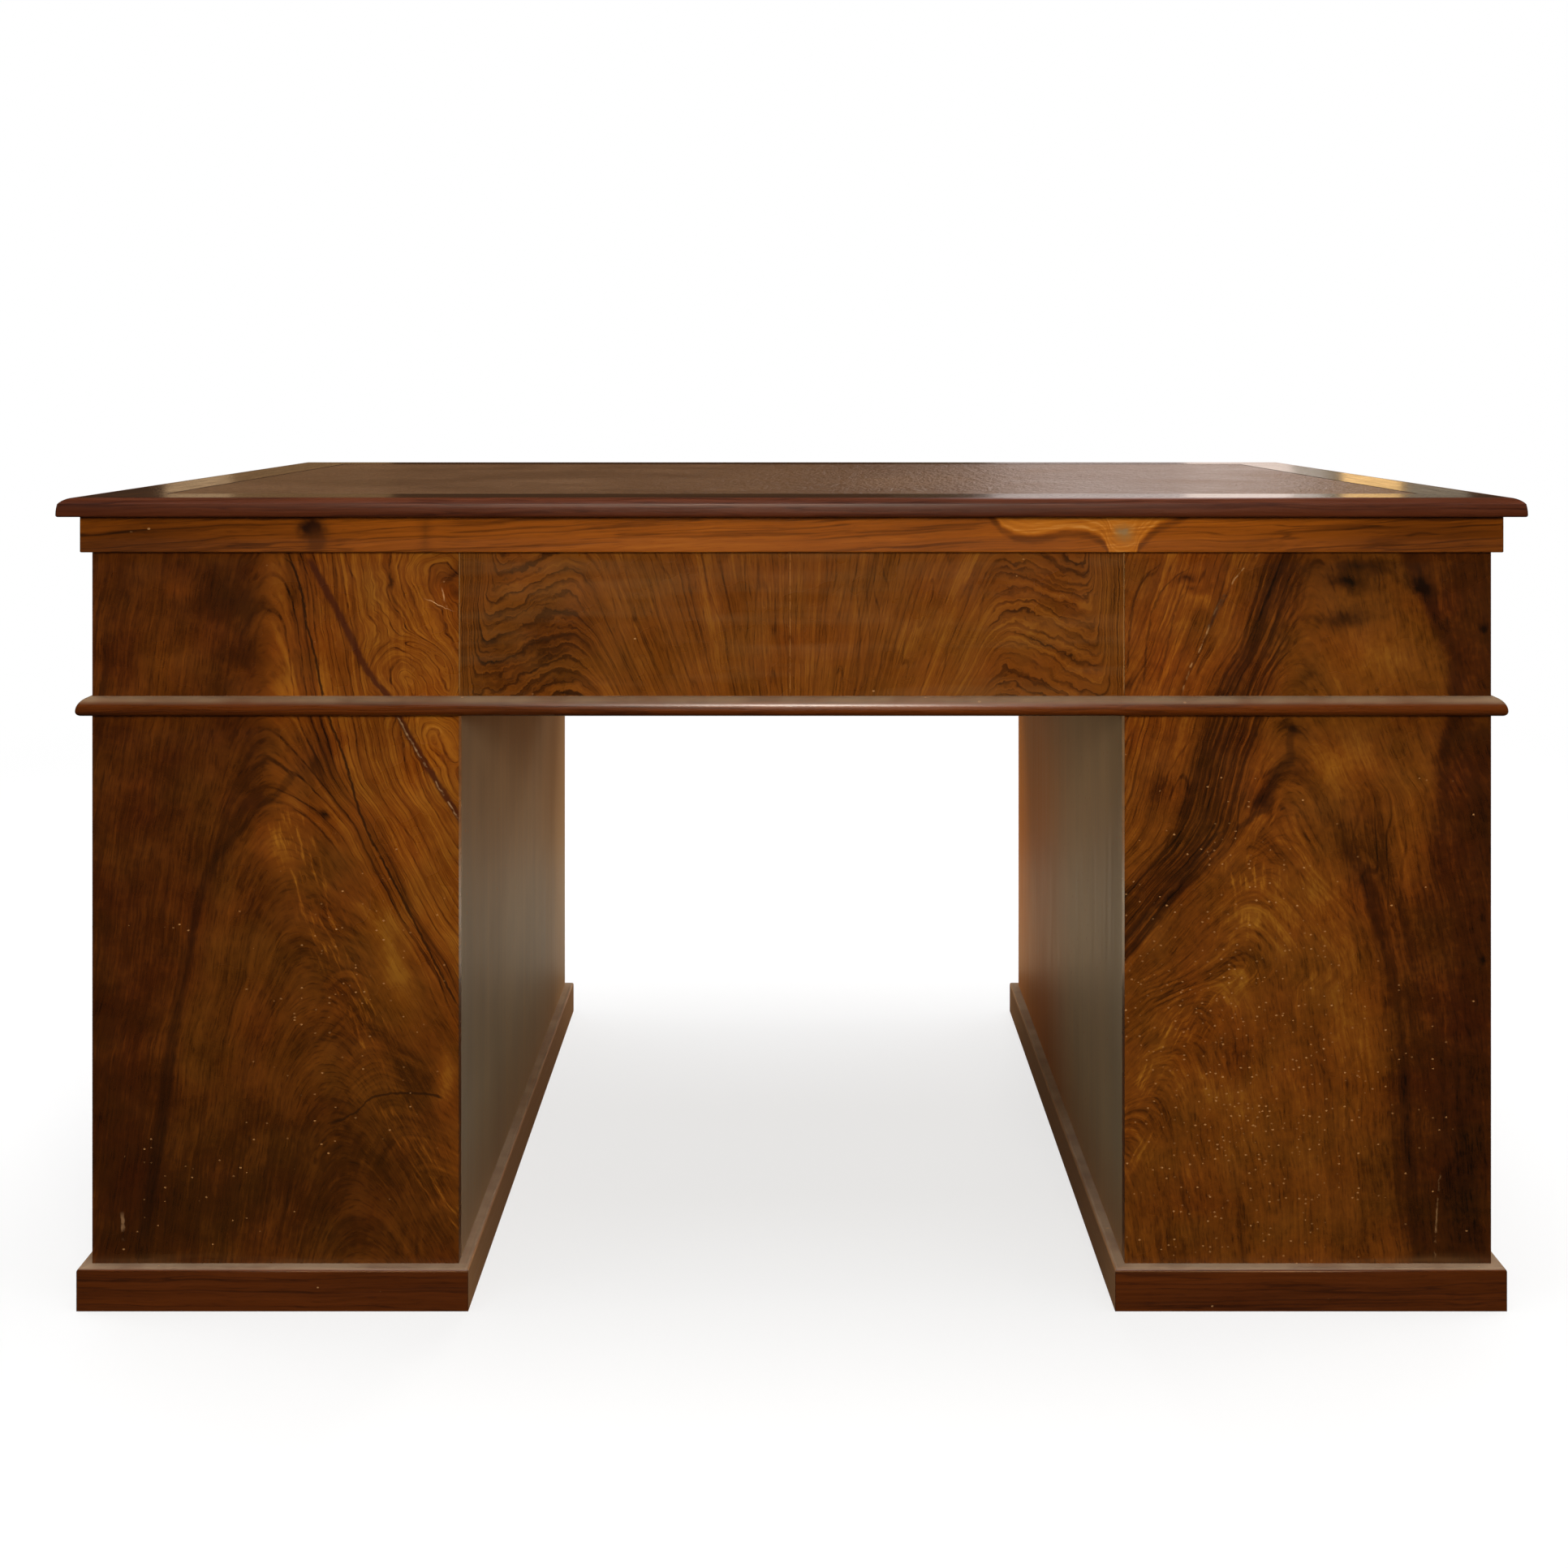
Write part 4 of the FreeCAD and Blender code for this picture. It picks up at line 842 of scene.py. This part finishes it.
def boards(name, look):
    made, tree = newMaterial(name)
    place = millimetres(tree)
    soft = sway(tree, place, plankScale["wobble"], look["sway"], look["seed"])

    def streak(thick, reach, **noise):
        scale = [1 / thick] * 3
        scale[look["axis"]] = 1 / reach
        vector = addNode(tree, "VectorMath", (soft, scale), operation="MULTIPLY")
        return addNode(tree, "TexNoise", {"Vector": vector, "Scale": 1.0, **noise})

    tone = mixIn(tree, look["tone"], streak(look["broadMm"], plankScale["broad"], Detail=2.0), look["broad"])
    fine = streak(look["fineMm"], plankScale["fine"], Detail=3.0)
    tone = mixIn(tree, tone, fine, look["fine"])
    pores = streak(*plankScale["pore"], Detail=1.0)
    pores = addNode(tree, "MapRange", (pores, *poreSpan, 0, look["pores"]))
    tone = addNode(tree, "Math", (tone, pores), operation="SUBTRACT")
    stain = addNode(tree, "TexNoise", {"Vector": place, "Scale": 1 / plankScale["stain"], "Detail": 4.0})
    tone = mixIn(tree, tone, stain, look["stain"])
    colour = addNode(tree, "ValToRGB", (tone,), ramp=look["shades"])
    for axis, start, end, shade, amount in look.get("washes", ()):  # where the stain has gone another colour
        side = addNode(tree, "SeparateXYZ", (soft,)).node.outputs[axis]
        wash = addNode(tree, "MapRange", (side, start, end, 0, amount), interpolation_type="SMOOTHSTEP")
        colour = addNode(tree, "Mix", (wash, colour, linear(shade)), data_type="RGBA")
    if "chips" in look:
        share, size, shade = look["chips"]
        chipped = chips(tree, place, size, share)
        colour = addNode(tree, "Mix", (chipped, colour, linear(shade)), data_type="RGBA")
    if "lipping" in look:  # the strip of walnut glued on the edge that shows between the drawers
        deep = addNode(tree, "SeparateXYZ", (place,)).node.outputs["Y"]
        lipped = addNode(tree, "MapRange", (deep, look["lipping"], look["lipping"] + 0.4, 0, 1))
        strip = addNode(tree, "ValToRGB", (tone,), ramp=lippingShades)
        colour = addNode(tree, "Mix", (lipped, colour, strip), data_type="RGBA")
    rough = addNode(tree, "MapRange", (fine, *noiseSpan, *look["rough"]))
    finish(tree, colour, rough, tone, plankRelief)
    return made


kneeholeWalnut = {  # the polish has perished to a grey bloom, and the pale grey shades also stand for a painted reflection of the bright floor seen at a grazing angle
    "seed": 1.9, "axis": 2, "sway": 10, "tone": 0.62, "broadMm": 50, "broad": 0.36, "fineMm": 7, "fine": 0.34,
    "pores": 0.05, "stain": 0.36, "rough": (0.42, 0.52), "lipping": 423.4,
    "shades": [(0.0, "#524538"), (0.35, "#897963"), (0.6, "#ac997c"), (1.0, "#d4bb92")],
    "chips": (0.08, 9, "#b98352"),
    "washes": [("Y", -240, -425, "#857a6a", 0.6), ("Y", 80, 380, "#b3834f", 0.6),
               ("Z", 190, 30, "#a5774a", 0.5)],
}
kneeholeRight = dict(kneeholeWalnut, tone=0.94, seed=3.3, chips=(0.3, 9, "#b98352"), washes=[
    ("Y", -150, 220, "#d6781c", 1.0), ("Y", -240, -425, "#85765c", 0.7), ("Z", 160, 20, "#a9703a", 0.6)])
sideWalnut = {
    "seed": 2.7, "axis": 2, "sway": 10, "tone": 0.42, "broadMm": 60, "broad": 0.4, "fineMm": 5, "fine": 0.3,
    "pores": 0.08, "stain": 0.2, "rough": (0.32, 0.42),
    "shades": [(0.0, "#1a0802"), (0.35, "#471d07"), (0.6, "#6f360e"), (1.0, "#a05e20")],
}
turnedWalnut = dict(sideWalnut, axis=0, broadMm=12, fineMm=2, seed=5.5, rough=(0.2, 0.3))
pineBoards = {
    "seed": 3.7, "axis": 0, "sway": 14, "tone": 0.5, "broadMm": 40, "broad": 0.4, "fineMm": 5, "fine": 0.45,
    "pores": 0.0, "stain": 0.2, "rough": (0.6, 0.75), "lipping": 412,
    "shades": [(0.0, "#5e3f1e"), (0.35, "#94703e"), (0.6, "#b08b54"), (1.0, "#d0ae78")],
}
oakLining = {
    "seed": 4.7, "axis": 1, "sway": 14, "tone": 0.5, "broadMm": 30, "broad": 0.35, "fineMm": 4, "fine": 0.4,
    "pores": 0.14, "stain": 0.2, "rough": (0.55, 0.7),
    "shades": [(0.0, "#4e3417"), (0.35, "#8a6534"), (0.6, "#a8834c"), (1.0, "#cba86c")],
}


# Cowhide skiver, dyed brown, pasted down and waxed: a fine pebbled grain that a hundred years have scuffed.
hide = {
    "half": (*placeOf("leather_inset")[1][:2], 0),  # mm
    "grooveShade": "#1d110a", "grooveShadeShare": 0.85, "grooveShadeReach": (-3.0, -1.2),  # its edges are darker, as painted shade in the groove round it, mm
    "pebble": 3.2,  # mm; the real grain is about 1 mm, drawn coarser so that it shows
    "pebbleSway": (12, 3), "crease": (0.2, 0.75),  # mm, span and amount; parts of a pebble
    "cockle": (9, 26, 9), "cockling": 5.0,  # mm and strength; waves where the paste pulled it
    "cloud": 140, "clouding": 0.4, "creasing": 0.2, "tone": 0.48,
    "shades": [(0.0, "#301e12"), (0.4, "#4e3521"), (0.7, "#654a32"), (1.0, "#907252")],
    "rough": (0.28, 0.4), "relief": (0.8, 1.2), "shine": 0.35,
}


def hideMaterial(name):
    made, tree = newMaterial(name)
    place = millimetres(tree)
    swayed = sway(tree, place, *hide["pebbleSway"])
    pebbles = addNode(tree, "TexVoronoi", {"Vector": swayed, "Scale": 1 / hide["pebble"]})
    crease = addNode(tree, "MapRange", (pebbles.node.outputs["Distance"], *hide["crease"], 1, 0))
    cloud = addNode(tree, "TexNoise", {"Vector": place, "Scale": 1 / hide["cloud"], "Detail": 4.0})
    tone = mixIn(tree, hide["tone"], cloud, hide["clouding"])
    tone = mixIn(tree, tone, crease, hide["creasing"])
    colour = addNode(tree, "ValToRGB", (tone,), ramp=hide["shades"])
    # darker along the edges: painted shade in the groove round the leather
    sides = addNode(tree, "VectorMath", (place,), operation="ABSOLUTE")
    sides = addNode(tree, "VectorMath", (sides, hide["half"]), operation="SUBTRACT")
    sides = addNode(tree, "SeparateXYZ", (sides,))
    rim = addNode(tree, "Math", (sides, sides.node.outputs["Y"]), operation="MAXIMUM")
    rim = addNode(tree, "MapRange", (rim, *hide["grooveShadeReach"], 0, hide["grooveShadeShare"]))
    colour = addNode(tree, "Mix", (rim, colour, linear(hide["grooveShade"])), data_type="RGBA")
    rough = addNode(tree, "MapRange", (cloud, *noiseSpan, *hide["rough"]))
    cockle = addNode(tree, "VectorMath", (place, [1 / span for span in hide["cockle"]]), operation="MULTIPLY")
    cockle = addNode(tree, "TexNoise", {"Vector": cockle, "Scale": 1.0, "Detail": 2.0})
    height = mixIn(tree, crease, cockle, hide["cockling"])
    finish(tree, colour, rough, height, hide["relief"], **{"Specular IOR Level": hide["shine"]})
    return made


# Cast brass, filed, polished and left to tarnish: soft yellow metal that has gone brown in the corners.
brassLook = {
    "shades": [(0.3, "#6e5424"), (0.55, "#b08f4a"), (0.8, "#cdb06a")], "rough": (0.42, 0.26),
    "tarnish": 4, "scratch": 0.4,  # mm
    "relief": (0.1, 0.2),
}


def brassMaterial(name):
    made, tree = newMaterial(name)
    place = millimetres(tree)
    cloud = addNode(tree, "TexNoise", {"Vector": place, "Scale": 1 / brassLook["tarnish"], "Detail": 4.0})
    colour = addNode(tree, "ValToRGB", (cloud,), ramp=brassLook["shades"])
    scratches = addNode(tree, "TexNoise", {"Vector": place, "Scale": 1 / brassLook["scratch"], "Detail": 2.0})
    rough = addNode(tree, "MapRange", (cloud, *noiseSpan, *brassLook["rough"]))
    finish(tree, colour, rough, scratches, brassLook["relief"], Metallic=1.0)
    return made


# A sheet in the keyhole, dull and nearly black: painted shade for the hole into the cast iron lock behind it.
paintedHoleLook = {
    "shades": [(0.3, "#070605"), (0.7, "#15110d")], "rough": (0.5, 0.7), "gritPerMm": 1.2,
    "relief": (0.3, 0.3),
}


def paintedHoleMaterial(name):
    made, tree = newMaterial(name)
    place = millimetres(tree)
    grit = addNode(tree, "TexNoise", {"Vector": place, "Scale": paintedHoleLook["gritPerMm"], "Detail": 3.0})
    colour = addNode(tree, "ValToRGB", (grit,), ramp=paintedHoleLook["shades"])
    rough = addNode(tree, "MapRange", (grit, *noiseSpan, *paintedHoleLook["rough"]))
    finish(tree, colour, rough, grit, paintedHoleLook["relief"])
    return made


# Turned bun knobs: a fillet against the drawer, a neck, and a bun with a scratched ring round its face.
knob = {
    "sides": 48, "spread": 84.95, "wideSpread": 190,  # mm from the drawer's middle; wide on the centre drawer
    # mm: radius and distance from the drawer front
    "profile": [(12.4, 0), (12.9, 0.7), (12.9, 1.8), (12.2, 2.5), (9.6, 3.1), (8.5, 4.4), (8.2, 6.2),
                (9.0, 8.2), (12.0, 9.8), (16.2, 11.2), (18.4, 13.2), (19.0, 15.6), (18.3, 18.2),
                (15.9, 20.2), (12.9, 21.3), (12.3, 21.2), (11.9, 21.45), (8.0, 22.4), (3.5, 22.9), (0, 23.0)],
}
# Lock escutcheons: a brass thread round the keyhole, let into the veneer and left a hair proud.
escutcheon = {  # mm; below is from the front's top edge, proud and the keyhole's painted shade are from its face
    "below": 24, "radius": 4.0, "skirt": 8.5, "flare": 2.9, "thread": 1.1, "proud": 0.7, "lock": 0.15,
    "steps": 28,  # stretches round the keyhole's head
    "neck": 0.62, "foot": 0.5,  # shares of the flare: half of the neck, and of the foot's flat
    "drop": 0.5,  # mm that this flat lies lower
}

levels = ("frieze", "top", "middle", "bottom")
drawers = ["centre_frieze"] + [f"{side}_{level}" for side in ("left", "right") for level in levels]


def turnedPair(name, centres, z, face):  # both knobs of a drawer, each one closed solid
    points, faces, sides = [], [], knob["sides"]
    for x in centres:
        start = len(points)
        for radius, out in knob["profile"]:
            if radius == 0:
                points.append((x / 1000, (face + out) / 1000, z / 1000))
                continue
            for i in range(sides):
                turn = 2 * math.pi * i / sides
                points.append(((x + radius * math.cos(turn)) / 1000, (face + out) / 1000,
                               (z + radius * math.sin(turn)) / 1000))
        rings = len(knob["profile"]) - 1
        for ring in range(rings - 1):
            for i in range(sides):
                a, b = start + ring * sides + i, start + ring * sides + (i + 1) % sides
                faces.append((a, a + sides, b + sides, b))
        tip = start + rings * sides
        last = start + (rings - 1) * sides
        faces += [(last + i, tip, last + (i + 1) % sides) for i in range(sides)]
        faces.append(tuple(start + i for i in range(sides)))
    made = newPiece(name, points, faces)
    made.data.shade_smooth()
    return made


def keyholeOutline(grow):  # mm, round the keyhole's own middle
    radius, flare, skirt = escutcheon["radius"] + grow, escutcheon["flare"] + grow, escutcheon["skirt"] + grow
    neck = math.asin(min(0.95, (escutcheon["flare"] * escutcheon["neck"] + grow) / radius))
    steps = escutcheon["steps"]
    turns = [math.radians(-90) + neck + (2 * math.pi - 2 * neck) * i / steps for i in range(steps + 1)]
    flat, low = flare * escutcheon["foot"], -skirt - escutcheon["drop"]
    foot = [(-flare, -skirt), (-flat, low), (flat, low), (flare, -skirt)]
    return [(radius * math.cos(turn), radius * math.sin(turn)) for turn in turns] + foot


def keyhole(name, x, z, face):
    outer, inner = keyholeOutline(escutcheon["thread"]), keyholeOutline(0)
    n, y0, y1 = len(outer), (face - 0.1) / 1000, (face + escutcheon["proud"]) / 1000
    points = [((x + a) / 1000, y, (z + b) / 1000) for outline, y in
              ((outer, y0), (outer, y1), (inner, y1), (inner, y0)) for a, b in outline]
    faces = []
    for ring in range(4):
        for i in range(n):
            j, other = (i + 1) % n, (ring + 1) % 4
            faces.append((ring * n + i, ring * n + j, other * n + j, other * n + i))
    thread = newPiece(name + "_escutcheon", points, faces)
    # a near-black sheet in the keyhole, a hair proud of the face: painted shade
    y2 = (face + escutcheon["lock"]) / 1000
    points = [((x + a) / 1000, y, (z + b) / 1000) for y in (y0, y2) for a, b in keyholeOutline(0.2)]
    faces = [(i, (i + 1) % n, n + (i + 1) % n, n + i) for i in range(n)]
    faces += [tuple(range(n - 1, -1, -1)), tuple(range(n, 2 * n))]
    lock = newPiece(name + "_lock", points, faces)
    for piece in (thread, lock):
        mesh = bmesh.new()
        mesh.from_mesh(piece.data)
        bmesh.ops.recalc_face_normals(mesh, faces=mesh.faces)
        mesh.to_mesh(piece.data)
        mesh.free()
    return thread, lock


turned = boards("walnut knobs, turned and polished", turnedWalnut)
brass, paintedHoleFinish = brassMaterial("brass, cast and polished"), paintedHoleMaterial("iron lock, oiled")
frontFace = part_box("centre_frieze_drawer_front")[1][1] * 1000
for name in drawers:
    middle, half = placeOf(name + "_drawer_front")
    x, z = middle[0], middle[2]
    spread = knob["wideSpread"] if name == "centre_frieze" else knob["spread"]
    centres = sorted((x - spread, x + spread), key=abs)  # the knob nearer the kneehole first
    pair = turnedPair(name + "_turned_knobs", centres, z, frontFace)
    pair.data.materials.append(turned)
    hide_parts(name + "_drawer_knobs")
    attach(pair, name + "_drawer")
    thread, lock = keyhole(name, x, z + half[2] - escutcheon["below"], frontFace)
    thread.data.materials.append(brass)
    lock.data.materials.append(paintedHoleFinish)
    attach(thread, name + "_drawer")
    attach(lock, name + "_drawer")
print("knobs and escutcheons made")

finishes = {
    "walnut_plain": boards("walnut boards, oiled", sideWalnut),
    "walnut_band": longGrain("walnut band, long grain", bandBoards),
    "walnut_polished": longGrain("walnut moulding, French polished", waistMoulding),
    "walnut_turned": turned,
    "pine_carcass": boards("pine, planed", pineBoards),
    "oak_lining": boards("oak, quarter sawn", oakLining),
    "leather": hideMaterial("cowhide skiver, waxed"),
}
bloomAndReflection = boards("walnut boards, polish perished", kneeholeWalnut)
rightBloomAndReflection = boards("walnut boards, polish perished, orange at one end", kneeholeRight)
leftWalnut = figuredVeneer("crotch walnut veneer, left", leftVeneer, crotchGrain)
rightWalnut = figuredVeneer("crotch walnut veneer, right", rightVeneer, crotchGrain)
centreWalnut = figuredVeneer("crotch walnut veneer, bookmatched", centreVeneer, fanGrain)
drawerFace = 424  # mm
# the drawers' fronts also take these veneers' painted reflection and painted shade
clean = {"lineWork": [], "chips": []}  # this side has the same figure, without its lines and chips
drawerLeft = figuredVeneer("crotch walnut veneer, left drawers", {**rightVeneer, **clean}, crotchGrain,
                           drawerFace, True)
drawerRight = figuredVeneer("crotch walnut veneer, right drawers", {**leftVeneer, **clean}, crotchGrain,
                            drawerFace, True)
ownFinish = {
    "frieze_back_left": leftWalnut, "left_back_panel": leftWalnut,
    "frieze_back_right": rightWalnut, "right_back_panel": rightWalnut,
    "frieze_back_centre": centreWalnut, "centre_frieze_drawer_front": centreWalnut,
    "top_border": longGrain("walnut border, French polished", topBorder),
    "left_plinth": longGrain("walnut plinth, polished", plinthBoards),
    "left_inner_side": bloomAndReflection, "right_inner_side": rightBloomAndReflection,
}
ownFinish["right_plinth"] = ownFinish["left_plinth"]
for side, shown in (("left", drawerLeft), ("right", drawerRight)):
    for level in levels:
        ownFinish[f"{side}_{level}_drawer_front"] = shown
wornEdge = {"width": 0.0007, "steps": 2, "angle": 30, "joined": 0.00001}  # metres and degrees
for name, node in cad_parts.items():
    for slot in node.material_slots:
        slot.material = ownFinish.get(name) or finishes[slot.material.name.split(".")[0]]
    if "knobs" in name:
        continue
    weld = node.modifiers.new("weld", "WELD")
    weld.merge_threshold = wornEdge["joined"]
    worn = node.modifiers.new("worn edges", "BEVEL")  # every sharp edge is rubbed round by use
    worn.width = wornEdge["width"]
    worn.segments = wornEdge["steps"]
    worn.limit_method = "ANGLE"
    worn.angle_limit = math.radians(wornEdge["angle"])
    worn.harden_normals = True
print("finishes ready")

shown = [list(corner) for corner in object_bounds()]
